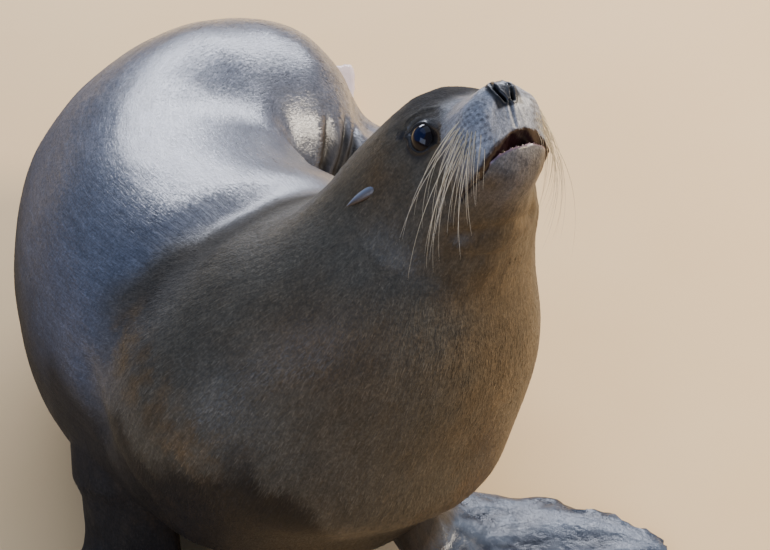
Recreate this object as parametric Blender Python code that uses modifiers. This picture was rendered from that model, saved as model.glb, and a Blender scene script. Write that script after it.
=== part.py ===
# A sea lion sitting up with its chest raised. The hind end curls to the animal's left, and the head looks
# up and to the left. Metres, +Z up, chest towards -Y, floor at Z = 0.
import math

import bmesh
import bpy
import numpy as np
from mathutils import Matrix, Vector

NAME = "sea_lion"
GAP = 0.0003  # left between pieces that touch
SIDES = 36  # points round each length of the body
FLOOR = 0.0

# Lengths of the body, each from back to front. A row holds the centre, the way the back faces, the half
# width, the height above the centre and the depth below it.
TRUNK = {
    "dome_end": ((-0.034, -0.012, 0.200), (0, 0, 1), 0.085, 0.075, 0.110),
    "dome": ((-0.105, -0.012, 0.208), (0, 0, 1), 0.170, 0.172, 0.195),
    "loin": ((-0.185, -0.018, 0.208), (0, 0, 1), 0.203, 0.205, 0.222),
    "belly": ((-0.255, -0.110, 0.210), (0, 0, 1), 0.212, 0.208, 0.224),
    "flank": ((-0.262, -0.220, 0.222), (0, 0, 1), 0.212, 0.212, 0.236),
    "ribs": ((-0.215, -0.350, 0.250), (0, 0.1, 1), 0.232, 0.215, 0.252),
    "breast": ((-0.120, -0.460, 0.280), (0, 0.3, 1), 0.235, 0.200, 0.230),
    "breast_end": ((-0.060, -0.530, 0.300), (0, 0.3, 1), 0.150, 0.130, 0.150),
}
HIND = {
    "inside": ((-0.190, -0.060, 0.150), (0, 0, 1), 0.110, 0.120, 0.130),
    "hips": ((-0.050, -0.062, 0.150), (0, 0, 1), 0.146, 0.142, 0.156),
    "rump": ((0.045, -0.112, 0.110), (0, 0, 1), 0.102, 0.103, 0.120),
    "tail_root": ((0.115, -0.165, 0.055), (0, 0, 1), 0.042, 0.032, 0.045),
    "tail_tip": ((0.155, -0.200, 0.026), (0, 0, 1), 0.016, 0.010, 0.020),
}
NECK = {
    "low_chest": ((-0.114, -0.535, 0.115), (-0.3, 0.9, 0), 0.168, 0.130, 0.135),
    "chest": ((-0.091, -0.515, 0.265), (-0.3, 0.9, 0.1), 0.260, 0.200, 0.222),
    "shoulders": ((-0.034, -0.522, 0.370), (-0.35, 0.8, 0.4), 0.238, 0.182, 0.205),
    "neck_base": ((0.014, -0.540, 0.455), (-0.38, 0.8, 0.45), 0.197, 0.155, 0.169),
}

# Head: where the nose tip is, the way it points and the way the crown faces.
NOSE_TIP = (0.128, -0.593, 0.800)
NOSE_WAY = (0.365, -0.404, 0.838)
CROWN_WAY = (-0.375, 0.760, 0.530)
# Sections by distance behind the nose tip: half width, height of the widest level, top, underside,
# squareness above and below that level.
HEAD = {
    0.266: (0.134, -0.056, 0.066, -0.180, 2.0, 2.0),
    0.226: (0.119, -0.042, 0.068, -0.170, 2.0, 2.0),
    0.192: (0.103, -0.029, 0.069, -0.159, 2.0, 2.0),
    0.164: (0.089, -0.018, 0.068, -0.147, 2.0, 2.0),
    0.136: (0.076, -0.012, 0.063, -0.134, 2.0, 2.0),
    0.113: (0.066, -0.014, 0.053, -0.123, 2.05, 2.0),
    0.090: (0.059, -0.020, 0.037, -0.113, 2.1, 2.05),
    0.068: (0.055, -0.025, 0.024, -0.105, 2.2, 2.1),
    0.045: (0.053, -0.027, 0.018, -0.098, 2.2, 2.1),
    0.027: (0.047, -0.025, 0.015, -0.088, 2.1, 2.1),
    0.016: (0.039, -0.021, 0.012, -0.072, 2.0, 2.1),
    0.007: (0.028, -0.017, 0.007, -0.044, 2.0, 2.0),
    0.001: (0.013, -0.013, -0.003, -0.024, 2.0, 2.0),
}
HEAD_ROOM = 0.16  # more than half the width of the head
VOXEL = 0.006  # grain of the joined flesh before it is thinned out
BLEND_STEPS = 60  # rounds of smoothing where the lengths of the body run into each other
FLESH_TRIANGLES = 3000

# Side outline of the mouth: distance behind the nose tip, height, from the corner to past the front.
UPPER_LIP = (
    (0.096, -0.076),
    (0.078, -0.070),
    (0.055, -0.064),
    (0.034, -0.057),
    (0.014, -0.048),
    (-0.040, -0.042),
)
LOWER_LIP = (
    (0.096, -0.076),
    (0.076, -0.073),
    (0.053, -0.070),
    (0.032, -0.067),
    (0.012, -0.063),
    (-0.040, -0.061),
)
JAW_REACH = (0.150, -0.220)  # where the cut behind the lower jaw comes out under the throat
EYE = (0.1045, 0.0600, 0.003)  # middle of the eye opening: behind, beside and above the nose tip
EYE_FACES = (0.45, 0.86, 0.22)  # ahead, outward, up
EYE_RADIUS = 0.0205
EYE_SUNK = 0.0150  # depth of the eyeball's centre under the eye opening
NOSE_PAD = ((-0.004, 0.0, -0.009), (0.024, 0.024, 0.022))  # its ellipsoid: centre and half axes
EAR = (0.178, 0.094, -0.017)  # where it leaves the head
EAR_WAY = (0.78, 0.62, -0.04)  # back, outward, up
TOOTH_ARCH = (0.076, 0.058, 0.026)  # where the row of teeth ends, its length and half width
GUM = 0.0032  # radius of the ridge that the teeth stand in
TOOTH_VOXEL = 0.0009  # grain of the joined row of teeth
TOOTH_SHARE = 0.045  # share of its triangles that is kept
# Place along the row from the middle to the back, height, radius.
TEETH = (
    (0.07, 0.0058, 0.0017),
    (0.21, 0.0064, 0.0019),
    (0.40, 0.0088, 0.0028),
    (0.58, 0.0056, 0.0024),
    (0.72, 0.0052, 0.0026),
    (0.85, 0.0046, 0.0026),
)
TONGUE = ((0.058, 0.0, -0.071), (0.034, 0.016, 0.0055))
EAR_LENGTH = 0.042
EAR_RADIUS = 0.0075
EAR_FLATNESS = 0.7  # thickness over width
# Share of the radius by the place along the ear, from inside the head to the tip.
EAR_SWELL = {-0.3: 0.7, 0.0: 0.8, 0.3: 1.0, 0.6: 0.8, 0.87: 0.42, 1.0: 0.15}

# Flippers, from inside the body to the tip: centre, the way the upper side faces, half width from front
# to trailing edge, half thickness above and below.
FORE_LEFT = {
    "shoulder": ((-0.020, -0.490, 0.240), (1.0, 0.0, 0.2), 0.085, 0.060, 0.060),
    "elbow": ((0.010, -0.510, 0.130), (1.0, 0.0, 0.5), 0.078, 0.044, 0.044),
    "wrist": ((0.055, -0.520, 0.050), (0.6, 0.0, 1.0), 0.074, 0.030, 0.036),
    "palm": ((0.140, -0.535, 0.021), (0, 0, 1), 0.092, 0.019, 0.028),
    "fingers": ((0.225, -0.535, 0.013), (0, 0, 1), 0.088, 0.012, 0.020),
    "finger_ends": ((0.305, -0.533, 0.009), (0, 0, 1), 0.064, 0.007, 0.014),
    "tip": ((0.353, -0.520, 0.006), (0, 0, 1), 0.026, 0.003, 0.008),
}
FORE_RIGHT = {
    "shoulder": ((-0.280, -0.480, 0.290), (-1.0, -0.1, 0.2), 0.100, 0.080, 0.070),
    "elbow": ((-0.318, -0.517, 0.165), (-1.0, -0.2, 0.4), 0.088, 0.066, 0.055),
    "wrist": ((-0.308, -0.580, 0.060), (-0.5, -0.4, 1.0), 0.072, 0.036, 0.044),
    "palm": ((-0.342, -0.655, 0.023), (-0.1, -0.1, 1), 0.086, 0.021, 0.029),
    "fingers": ((-0.390, -0.725, 0.013), (0, 0, 1), 0.086, 0.012, 0.020),
    "finger_ends": ((-0.440, -0.785, 0.009), (0, 0, 1), 0.064, 0.007, 0.014),
    "tip": ((-0.475, -0.815, 0.006), (0, 0, 1), 0.026, 0.003, 0.008),
}
HIND_LEFT = {
    "thigh": ((0.010, -0.130, 0.085), (0.3, -0.5, 1), 0.050, 0.040, 0.040),
    "ankle": ((0.035, -0.205, 0.045), (0.2, -0.3, 1), 0.040, 0.024, 0.036),
    "sole": ((0.052, -0.262, 0.020), (0, 0, 1), 0.047, 0.014, 0.028),
    "toes": ((0.058, -0.318, 0.012), (0, 0, 1), 0.056, 0.009, 0.020),
    "toe_ends": ((0.060, -0.372, 0.008), (0, 0, 1), 0.060, 0.004, 0.011),
}
HIND_RIGHT = {
    "thigh": ((-0.020, -0.050, 0.085), (0, 0.5, 1), 0.050, 0.040, 0.040),
    "ankle": ((-0.070, 0.090, 0.055), (0, 0.2, 1), 0.042, 0.026, 0.034),
    "sole": ((-0.096, 0.180, 0.028), (0, 0.1, 1), 0.048, 0.015, 0.034),
    "toes": ((-0.104, 0.290, 0.020), (0, -0.1, 1), 0.058, 0.009, 0.026),
    "toe_ends": ((-0.102, 0.378, 0.046), (0, -0.5, 1), 0.062, 0.004, 0.006),
}
FLIPPER_SIDES = 24  # points round a flipper
FLIPPER_RINGS = 12  # sections along it
FLIPPER_SQUARENESS = 1.7
FINGER_NOTCH = 0.010  # depth of the scallops along the trailing edge of a foreflipper
FINGERS = 5
TOE_NOTCH = 0.030  # depth of the notches between the flaps at the end of a hind flipper
TOES = 5
NAIL_TOES = (-0.4, 0.0, 0.4)  # the middle toes, by their place from one edge to the other
NAIL = (0.0095, 0.0032, 0.0030)  # half length, half width, half height
NAIL_PLACE = 0.70  # share of the way from the thigh to the toe ends

# Thin cuts that part the flesh: the middle of the cut, the way it faces, its width and height.
CUTS = {
    "throat": ((0.060, -0.530, 0.580), NOSE_WAY, 0.44, 0.50),
    "neck_base": ((-0.030, -0.500, 0.400), (0.30, -0.20, 0.93), 0.66, 0.60),
    "breast": ((-0.225, -0.400, 0.240), (0.72, -0.69, 0.0), 0.56, 0.62),
    "flank": ((-0.270, -0.245, 0.240), (0, 1, 0), 0.50, 0.62),
    "fold": ((-0.050, -0.010, 0.200), (1, 0, 0), 0.46, 0.60),
    "tail": ((0.112, -0.160, 0.070), (0.75, -0.65, 0), 0.24, 0.26),
}
# A point well inside each piece of flesh.
PIECES = {
    "head": (0.090, -0.540, 0.660),
    "neck": (0.010, -0.540, 0.480),
    "chest": (-0.090, -0.510, 0.260),
    "ribs": (-0.240, -0.300, 0.220),
    "loin": (-0.200, -0.080, 0.200),
    "hindquarters": (0.010, -0.110, 0.110),
    "tail": (0.130, -0.180, 0.040),
}
COLOURS = {
    "fur": (0.060, 0.052, 0.045),
    "skin": (0.055, 0.060, 0.070),
    "eye": (0.010, 0.008, 0.007),
    "nose": (0.012, 0.013, 0.016),
    "mouth": (0.250, 0.100, 0.090),
    "tooth": (0.700, 0.620, 0.450),
    "nail": (0.150, 0.110, 0.070),
}

for old in list(bpy.data.objects):
    bpy.data.objects.remove(old, do_unlink=True)
parts = bpy.data.collections.new(NAME)
helpers = bpy.data.collections.new(NAME + "_cutters")
bpy.context.scene.collection.children.link(parts)
bpy.context.scene.collection.children.link(helpers)


def unit(vector):
    vector = np.asarray(vector, float)
    return vector / np.linalg.norm(vector, axis=-1, keepdims=True)


def smooth_through(keys, values, at):
    """A smooth curve through the values given at the keys, read at other places."""
    keys = np.asarray(keys, float)
    values = np.asarray(values, float).reshape(len(keys), -1)
    slopes = np.gradient(values, keys, axis=0)
    at = np.clip(np.atleast_1d(np.asarray(at, float)), keys[0], keys[-1])
    i = np.clip(np.searchsorted(keys, at, side="right") - 1, 0, len(keys) - 2)
    step = (keys[i + 1] - keys[i])[:, None]
    t = (at - keys[i])[:, None] / step
    return (
        (2 * t**3 - 3 * t**2 + 1) * values[i]
        + (t**3 - 2 * t**2 + t) * step * slopes[i]
        + (3 * t**2 - 2 * t**3) * values[i + 1]
        + (t**3 - t**2) * step * slopes[i + 1]
    )


head_way = unit(NOSE_WAY)
head_up = unit(np.asarray(CROWN_WAY) - np.dot(CROWN_WAY, head_way) * head_way)
head_left = np.cross(head_up, head_way)


def in_head(behind, left, up):
    """A point given by its place behind, left of and above the nose tip."""
    return np.asarray(NOSE_TIP) - behind * head_way + left * head_left + up * head_up


def head_direction(ahead, left, up):
    return unit(ahead * head_way + left * head_left + up * head_up)


def section(count, half_width, above, below, square_above=2.0, square_below=2.0):
    """A closed outline across a length: how far to the left and how far to the back each point lies."""
    angle = np.linspace(0, 2 * math.pi, count, endpoint=False)
    sine, cosine = np.sin(angle), np.cos(angle)
    power = 2 / np.where(cosine > 0, square_above, square_below)
    across = half_width * np.sign(sine) * np.abs(sine) ** power
    back = np.where(cosine > 0, above, below) * np.sign(cosine) * np.abs(cosine) ** power
    return across[:, None], back[:, None]


def tube_rings(stations, count, sides=SIDES, squareness=2.0):
    """Rings along a smooth path through the stations."""
    centres = np.array([row[0] for row in stations])
    backs = np.array([unit(row[1]) for row in stations])
    sizes = np.array([row[2:] for row in stations])
    keys = np.concatenate([[0], np.cumsum(np.linalg.norm(np.diff(centres, axis=0), axis=1))])
    rings = []
    for at in np.linspace(0, keys[-1], count):
        before, centre, after = smooth_through(keys, centres, [at - 0.002, at, at + 0.002])
        way = unit(after - before)
        back = smooth_through(keys, backs, at)[0]
        back = unit(back - np.dot(back, way) * way)
        across, up = section(sides, *smooth_through(keys, sizes, at)[0], squareness, squareness)
        rings.append(centre + across * np.cross(back, way) + up * back)
    return rings


def head_ring(behind):
    keys = sorted(HEAD)
    half, level, top, under, *squareness = smooth_through(keys, [HEAD[k] for k in keys], behind)[0]
    across, up = section(SIDES, half, top - level, level - under, *squareness)
    return in_head(behind, 0, level) + across * head_left + up * head_up


def loft(rings):
    """Points and faces of a closed skin over a row of rings, each end closed by a fan."""
    count = len(rings[0])
    points = [tuple(p) for ring in rings for p in ring]
    faces = []
    for i in range(len(rings) - 1):
        for j in range(count):
            a = i * count + j
            b = i * count + (j + 1) % count
            faces.append((a, b, b + count, a + count))
    for start, turn in ((0, 1), ((len(rings) - 1) * count, -1)):
        hub = len(points)
        points.append(tuple(np.mean(points[start : start + count], axis=0)))
        for j in range(count):
            faces.append((hub, start + (j + 1) % count, start + j)[::turn])
    return points, faces


def add_object(name, mesh, collection):
    made = bpy.data.objects.new(name, mesh)
    collection.objects.link(made)
    return made


def mesh_of(name, pieces):
    """One mesh of several closed skins, facing outward."""
    points, faces = [], []
    for piece_points, piece_faces in pieces:
        faces += [tuple(len(points) + v for v in face) for face in piece_faces]
        points += piece_points
    mesh = bpy.data.meshes.new(name)
    mesh.from_pydata(points, [], faces)
    bm = bmesh.new()
    bm.from_mesh(mesh)
    bmesh.ops.recalc_face_normals(bm, faces=bm.faces)
    bm.to_mesh(mesh)
    bm.free()
    return mesh


def cutter(name, mesh):
    made = add_object(name, mesh, helpers)
    made.hide_render = True
    made.display_type = "WIRE"
    return made


def baked(source):
    """The object's mesh as its modifiers leave it, with the modifiers gone."""
    bpy.context.view_layer.update()
    graph = bpy.context.evaluated_depsgraph_get()
    mesh = bpy.data.meshes.new_from_object(source.evaluated_get(graph))
    source.modifiers.clear()
    source.data = mesh
    return source


def combine(target, other, operation):
    modifier = target.modifiers.new(operation.lower(), "BOOLEAN")
    modifier.operation = operation
    modifier.object = other
    return baked(target)


def ball(centre, half_axes, axes, u=24, v=14):
    """A ball stretched along three directions."""
    bm = bmesh.new()
    bmesh.ops.create_uvsphere(bm, u_segments=u, v_segments=v, radius=1.0)
    columns = [Vector(axis) * size for axis, size in zip(axes, half_axes)]
    matrix = Matrix([[c[row] for c in columns] for row in range(3)]).to_4x4()
    matrix.translation = Vector(centre)
    bmesh.ops.transform(bm, matrix=matrix, verts=bm.verts)
    bmesh.ops.recalc_face_normals(bm, faces=bm.faces)
    mesh = bpy.data.meshes.new("ball")
    bm.to_mesh(mesh)
    bm.free()
    return mesh


def islands(source):
    """The separate closed bodies of an object, each as a mesh, the largest first."""
    bm = bmesh.new()
    bm.from_mesh(source.data)
    bm.verts.index_update()
    seen, meshes = set(), []
    for first in bm.verts:
        if first.index in seen:
            continue
        seen.add(first.index)
        group = [first]
        for vert in group:
            others = [edge.other_vert(vert) for edge in vert.link_edges]
            group += [other for other in others if other.index not in seen]
            seen.update(other.index for other in others)
        group.sort(key=lambda vert: vert.index)
        place = {vert.index: i for i, vert in enumerate(group)}
        faces = [[place[v.index] for v in face.verts] for face in bm.faces if face.verts[0].index in place]
        mesh = bpy.data.meshes.new("piece")
        mesh.from_pydata([v.co[:] for v in group], [], faces)
        mesh.update()
        meshes.append(mesh)
    bm.free()
    return sorted(meshes, key=lambda mesh: -len(mesh.vertices))


def soften(bm, verts):
    bmesh.ops.smooth_vert(bm, verts=verts, factor=0.5, use_axis_x=True, use_axis_y=True, use_axis_z=True)


def make_flesh():
    """The whole body without its flippers: the lengths joined, blended and thinned out."""
    nape_key = max(HEAD)
    half, level, top, under = HEAD[nape_key][:4]
    nape = (tuple(in_head(nape_key, 0, level)), tuple(head_up), half, top - level, level - under)
    front = tube_rings([*NECK.values(), nape], 24)
    front += [head_ring(behind) for behind in np.linspace(nape_key, 0.03, 24)[1:]]
    front += [head_ring(behind) for behind in (0.024, 0.018, 0.014, 0.010, 0.006, 0.003, 0.001)]
    lengths = [tube_rings([*TRUNK.values()], 24), tube_rings([*HIND.values()], 20), front]
    flesh = add_object("flesh", mesh_of("flesh", [loft(rings) for rings in lengths]), parts)
    remesh = flesh.modifiers.new("one_skin", "REMESH")
    remesh.mode = "VOXEL"
    remesh.voxel_size = VOXEL
    flesh = baked(flesh)
    bm = bmesh.new()
    bm.from_mesh(flesh.data)
    throat = Vector(in_head(0.165, 0, 0))
    below_head = [v for v in bm.verts if (v.co - throat).dot(Vector(head_way)) < 0]
    for _ in range(BLEND_STEPS):
        soften(bm, below_head)
    soften(bm, bm.verts)
    for vert in bm.verts:
        vert.co.z = max(vert.co.z, FLOOR)
    bm.to_mesh(flesh.data)
    bm.free()
    flesh.data.calc_loop_triangles()
    thin = flesh.modifiers.new("thin_out", "DECIMATE")
    thin.ratio = FLESH_TRIANGLES / len(flesh.data.loop_triangles)
    return baked(flesh)


def box(name, centre, way, width, height, thickness, up_way=(0, 0, 1)):
    """A block seen along its thickness: the thin cuts are such blocks."""
    way = unit(way)
    across = unit(np.cross(up_way, way))
    bm = bmesh.new()
    bmesh.ops.create_cube(bm, size=1.0)
    columns = (Vector(across) * width, Vector(np.cross(way, across)) * height, Vector(way) * thickness)
    matrix = Matrix([[c[row] for c in columns] for row in range(3)]).to_4x4()
    matrix.translation = Vector(centre)
    bmesh.ops.transform(bm, matrix=matrix, verts=bm.verts)
    bmesh.ops.recalc_face_normals(bm, faces=bm.faces)
    mesh = bpy.data.meshes.new(name)
    bm.to_mesh(mesh)
    bm.free()
    return mesh


def grown(mesh, by):
    mesh = mesh.copy()
    normals = [v.normal.copy() for v in mesh.vertices]
    for vert, normal in zip(mesh.vertices, normals):
        vert.co += normal * by
    return mesh


def shell(name, source):
    """A cutter that clears the object by the gap all round."""
    return cutter(name, grown(source.data, GAP))


def largest_body(source):
    source.data = islands(source)[0]
    return source


def paint(source, colour, roughness):
    material = bpy.data.materials.new(source.name)
    material.use_nodes = True
    shader = material.node_tree.nodes["Principled BSDF"]
    shader.inputs["Base Color"].default_value = (*COLOURS[colour], 1)
    shader.inputs["Roughness"].default_value = roughness
    source.data.materials.clear()
    source.data.materials.append(material)
    source.data.shade_smooth()


def grounded(rings):
    for ring in rings:
        ring[:, 2] = np.maximum(ring[:, 2], FLOOR)
    return rings


def flipper_rings(stations, trailing, notch, lobes, along):
    """A flipper's rings. Its edge runs in lobes: along the trailing side, or at the end of each toe."""
    rings = np.array(tube_rings([*stations.values()], FLIPPER_RINGS, FLIPPER_SIDES, FLIPPER_SQUARENESS))
    place = section(FLIPPER_SIDES, 1, 1, 1, FLIPPER_SQUARENESS, FLIPPER_SQUARENESS)[0]
    middles = rings.mean(axis=1)
    ways = unit(np.gradient(middles, axis=0))
    for i, t in enumerate(np.linspace(0, 1, FLIPPER_RINGS)):
        if along:
            side = unit(rings[i][FLIPPER_SIDES // 4] - middles[i]) * trailing
            reach = notch * abs(math.sin(math.pi * lobes * t)) * t
            rings[i] += np.clip(place * trailing, 0, 1) ** 3 * reach * side
        else:
            wave = np.abs(np.sin(math.pi * lobes * (place + 1) / 2)) ** 0.8 + 0.5 * place**2
            rings[i] += notch * t**3 * (wave - 0.5) * ways[i]
    return grounded(rings)


def make_flipper(name, stations, trailing, notch, lobes, along):
    rings = flipper_rings(stations, trailing, notch, lobes, along)
    flipper = add_object(name, mesh_of(name, [loft(list(rings))]), parts)
    combine(flipper, flesh_shell, "DIFFERENCE")
    return largest_body(flipper)


def make_nails(flipper, stations):
    """A horn nail on each of the middle toes, half sunk in the skin."""
    rows = list(stations.values())
    centres = np.array([row[0] for row in rows])
    keys = np.concatenate([[0], np.cumsum(np.linalg.norm(np.diff(centres, axis=0), axis=1))])
    at = NAIL_PLACE * keys[-1]
    before, middle, after = smooth_through(keys, centres, [at - 0.002, at, at + 0.002])
    back = smooth_through(keys, [unit(row[1]) for row in rows], at)[0]
    half, above = smooth_through(keys, [row[2:4] for row in rows], at)[0]
    way = unit(after - before)
    back = unit(back - np.dot(back, way) * way)
    across = np.cross(back, way)
    for number, toe in enumerate(NAIL_TOES, 1):
        centre = middle + toe * half * across + above * (1 - toe**2) ** 0.6 * back
        bed = cutter(f"nail_bed_{number}", ball(centre, np.add(NAIL, GAP), (way, across, back), 8, 6))
        combine(flipper, bed, "DIFFERENCE")
        horn = ball(centre, NAIL, (way, across, back), 8, 6)
        nail = add_object(f"nail_{flipper.name}_{number}", horn, parts)
        paint(nail, "nail", 0.45)


def side_block(name, outline):
    """A block with this outline seen from the side of the head, wider than the head."""
    bm = bmesh.new()
    verts = [bm.verts.new(in_head(behind, -HEAD_ROOM, up)) for behind, up in outline]
    face = bm.faces.new(verts)
    made = bmesh.ops.extrude_face_region(bm, geom=[face])["geom"]
    moved = [v for v in made if isinstance(v, bmesh.types.BMVert)]
    bmesh.ops.translate(bm, vec=Vector(head_left) * 2 * HEAD_ROOM, verts=moved)
    bmesh.ops.recalc_face_normals(bm, faces=bm.faces)
    mesh = bpy.data.meshes.new(name)
    bm.to_mesh(mesh)
    bm.free()
    return mesh


def make_jaw(head):
    """Parts the lower jaw from the head, with the mouth a little open between the lips."""
    corner, reach = np.array(UPPER_LIP[0]), np.array(JAW_REACH)
    hinge = unit(reach - corner)
    clear = np.array([hinge[1], -hinge[0]]) * GAP
    front_below = (UPPER_LIP[-1][0], JAW_REACH[1])
    jaw = add_object("lower_jaw", head.data.copy(), parts)
    room = cutter("jaw_room", side_block("jaw_room", [*UPPER_LIP, front_below, tuple(reach)]))
    keep = cutter(
        "jaw_block",
        side_block("jaw_block", [tuple(corner + clear), *LOWER_LIP[1:], front_below, tuple(reach + clear)]),
    )
    combine(head, room, "DIFFERENCE")
    combine(jaw, keep, "INTERSECT")
    return largest_body(jaw)


def make_eye(head, side, name):
    place = in_head(EYE[0], side * EYE[1], EYE[2])
    faces = head_direction(EYE_FACES[0], side * EYE_FACES[1], EYE_FACES[2])
    centre = place - EYE_SUNK * faces
    across = unit(np.cross(head_up, faces))
    axes = (across, np.cross(faces, across), faces)
    socket = cutter("socket_" + name, ball(centre, [EYE_RADIUS + GAP] * 3, axes, 14, 9))
    combine(head, socket, "DIFFERENCE")
    eye = add_object(name, ball(centre, [EYE_RADIUS] * 3, axes, 14, 9), parts)
    paint(eye, "eye", 0.05)


def make_nose(head):
    """The bare pad round the nostrils: the tip of the muzzle, parted along a ball."""
    place, half_axes = NOSE_PAD
    axes = (head_way, head_left, head_up)
    nose = add_object("nose_pad", head.data.copy(), parts)
    combine(nose, cutter("nose_ball", ball(in_head(*place), half_axes, axes, 24, 14)), "INTERSECT")
    room = cutter("nose_room", ball(in_head(*place), np.add(half_axes, GAP), axes, 24, 14))
    combine(head, room, "DIFFERENCE")
    paint(largest_body(nose), "nose", 0.3)


def make_ear(head_shell, side, name):
    root = in_head(EAR[0], side * EAR[1], EAR[2])
    way = head_direction(-EAR_WAY[0], side * EAR_WAY[1], EAR_WAY[2])
    outward = head_direction(0.2, side, 0.2)
    stations = []
    for along, share in EAR_SWELL.items():
        radius = EAR_RADIUS * share
        thick = radius * EAR_FLATNESS
        stations.append((root + way * EAR_LENGTH * along, outward, radius, thick, thick))
    ear = add_object(name, mesh_of(name, [loft(tube_rings(stations, 7, 9))]), parts)
    combine(ear, head_shell, "DIFFERENCE")
    paint(largest_body(ear), "fur", 0.45)


def tooth_place(along):
    """A point on top of the lower jaw, from -1 at the right end of the row of teeth to 1 at the left end."""
    angle = along * math.pi / 2
    behind = TOOTH_ARCH[0] - TOOTH_ARCH[1] * math.cos(angle)
    level = np.interp(-behind, *np.transpose([(-row[0], row[1]) for row in LOWER_LIP]))
    return in_head(behind, TOOTH_ARCH[2] * math.sin(angle), level)


def make_teeth(jaw_shell):
    """The lower row: a gum arch with small front teeth, two canines and low cheek teeth, as one body."""
    stations = [(tooth_place(along), head_up, GUM, GUM, GUM) for along in np.linspace(-1, 1, 9)]
    pieces = [loft(tube_rings(stations, 25, 10))]
    for along, height, radius in TEETH:
        for side in (-1, 1):
            foot = tooth_place(side * along)
            crown = [
                (foot + head_up * height * t, head_way, radius * s, radius * s, radius * s)
                for t, s in ((0, 1), (0.6, 0.8), (0.9, 0.45), (1, 0.15))
            ]
            pieces.append(loft(tube_rings(crown, 6, 8)))
    teeth = add_object("lower_teeth", mesh_of("lower_teeth", pieces), parts)
    joined = teeth.modifiers.new("one_body", "REMESH")
    joined.mode = "VOXEL"
    joined.voxel_size = TOOTH_VOXEL
    thin = teeth.modifiers.new("thin_out", "DECIMATE")
    thin.ratio = TOOTH_SHARE
    baked(teeth)
    combine(teeth, jaw_shell, "DIFFERENCE")
    paint(largest_body(teeth), "tooth", 0.25)
    return teeth


def make_tongue(others):
    place, half_axes = TONGUE
    axes = (head_way, head_left, head_up)
    tongue = add_object("tongue", ball(in_head(*place), half_axes, axes, 18, 10), parts)
    for other in others:
        combine(tongue, other, "DIFFERENCE")
    paint(largest_body(tongue), "mouth", 0.25)


def part_flesh(flesh):
    """Makes the thin cuts and names each piece by the point it holds."""
    for name, (centre, way, width, height) in CUTS.items():
        combine(flesh, cutter("cut_" + name, box(name, centre, way, width, height, GAP)), "DIFFERENCE")
    made = {}
    for mesh in islands(flesh):
        middle = np.mean([v.co[:] for v in mesh.vertices], axis=0)
        name = min(PIECES, key=lambda key: np.linalg.norm(middle - PIECES[key]))
        made[name] = add_object(name, mesh, parts)
    bpy.data.objects.remove(flesh, do_unlink=True)
    return made


flesh = make_flesh()
flesh_shell = shell("flesh_shell", flesh)
flippers = {
    "foreflipper_left": (FORE_LEFT, 1, FINGER_NOTCH, FINGERS, True),
    "foreflipper_right": (FORE_RIGHT, -1, FINGER_NOTCH, FINGERS, True),
    "hindflipper_left": (HIND_LEFT, 1, TOE_NOTCH, TOES, False),
    "hindflipper_right": (HIND_RIGHT, 1, TOE_NOTCH, TOES, False),
}
for name, settings in flippers.items():
    flipper = make_flipper(name, *settings)
    if settings[0] in (HIND_LEFT, HIND_RIGHT):
        make_nails(flipper, settings[0])
    paint(largest_body(flipper), "skin", 0.4)

pieces = part_flesh(flesh)
head = pieces["head"]
make_nose(head)
jaw = make_jaw(head)
for side, word in ((1, "left"), (-1, "right")):
    make_ear(flesh_shell, side, "ear_" + word)
    make_eye(head, side, "eye_" + word)
largest_body(head)
jaw_shell = shell("jaw_shell", jaw)
teeth = make_teeth(jaw_shell)
make_tongue([jaw_shell, shell("head_shell", head), shell("teeth_shell", teeth)])
for piece in [*pieces.values(), jaw]:
    paint(piece, "fur", 0.4)


def put_origin_below():
    """Moves everything so that the origin is on the floor, under the middle of the whole body."""
    points = np.array([v.co[:] for piece in parts.objects for v in piece.data.vertices])
    low, high = points.min(axis=0), points.max(axis=0)
    shift = Matrix.Translation((-(low[0] + high[0]) / 2, -(low[1] + high[1]) / 2, -low[2]))
    for piece in [*parts.objects, *helpers.objects]:
        piece.data.transform(shift)


put_origin_below()
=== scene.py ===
import math

import bmesh
import bpy
import numpy as np
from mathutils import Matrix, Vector, noise
from mathutils.bvhtree import BVHTree


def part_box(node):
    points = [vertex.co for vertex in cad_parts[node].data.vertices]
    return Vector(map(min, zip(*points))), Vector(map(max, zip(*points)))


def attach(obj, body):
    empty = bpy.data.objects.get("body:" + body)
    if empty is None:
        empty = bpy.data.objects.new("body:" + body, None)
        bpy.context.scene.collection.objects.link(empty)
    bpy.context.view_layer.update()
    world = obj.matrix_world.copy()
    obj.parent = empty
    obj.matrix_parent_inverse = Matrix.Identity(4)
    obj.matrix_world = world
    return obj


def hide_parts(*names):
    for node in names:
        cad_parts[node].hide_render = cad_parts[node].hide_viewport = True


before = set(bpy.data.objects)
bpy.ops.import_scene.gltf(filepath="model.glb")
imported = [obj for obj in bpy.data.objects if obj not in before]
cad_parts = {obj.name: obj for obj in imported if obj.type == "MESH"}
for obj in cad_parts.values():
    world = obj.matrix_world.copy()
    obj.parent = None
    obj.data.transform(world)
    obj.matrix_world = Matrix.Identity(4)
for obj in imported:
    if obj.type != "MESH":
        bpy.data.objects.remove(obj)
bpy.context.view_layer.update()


def unit(vector):
    vector = np.asarray(vector, float)
    return vector / np.maximum(np.linalg.norm(vector, axis=-1, keepdims=True), 1e-9)


def linear(hexColour):  # sRGB hex to linear red, green, blue, alpha
    parts = [int(hexColour[i : i + 2], 16) / 255 for i in (1, 3, 5)]
    return (*[c / 12.92 if c <= 0.04045 else ((c + 0.055) / 1.055) ** 2.4 for c in parts], 1)


def ease(value, low, high):  # 0 at low, 1 at high, smooth between
    t = np.clip((np.asarray(value, float) - low) / (high - low + 1e-12), 0, 1)
    return t * t * (3 - 2 * t)


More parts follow.
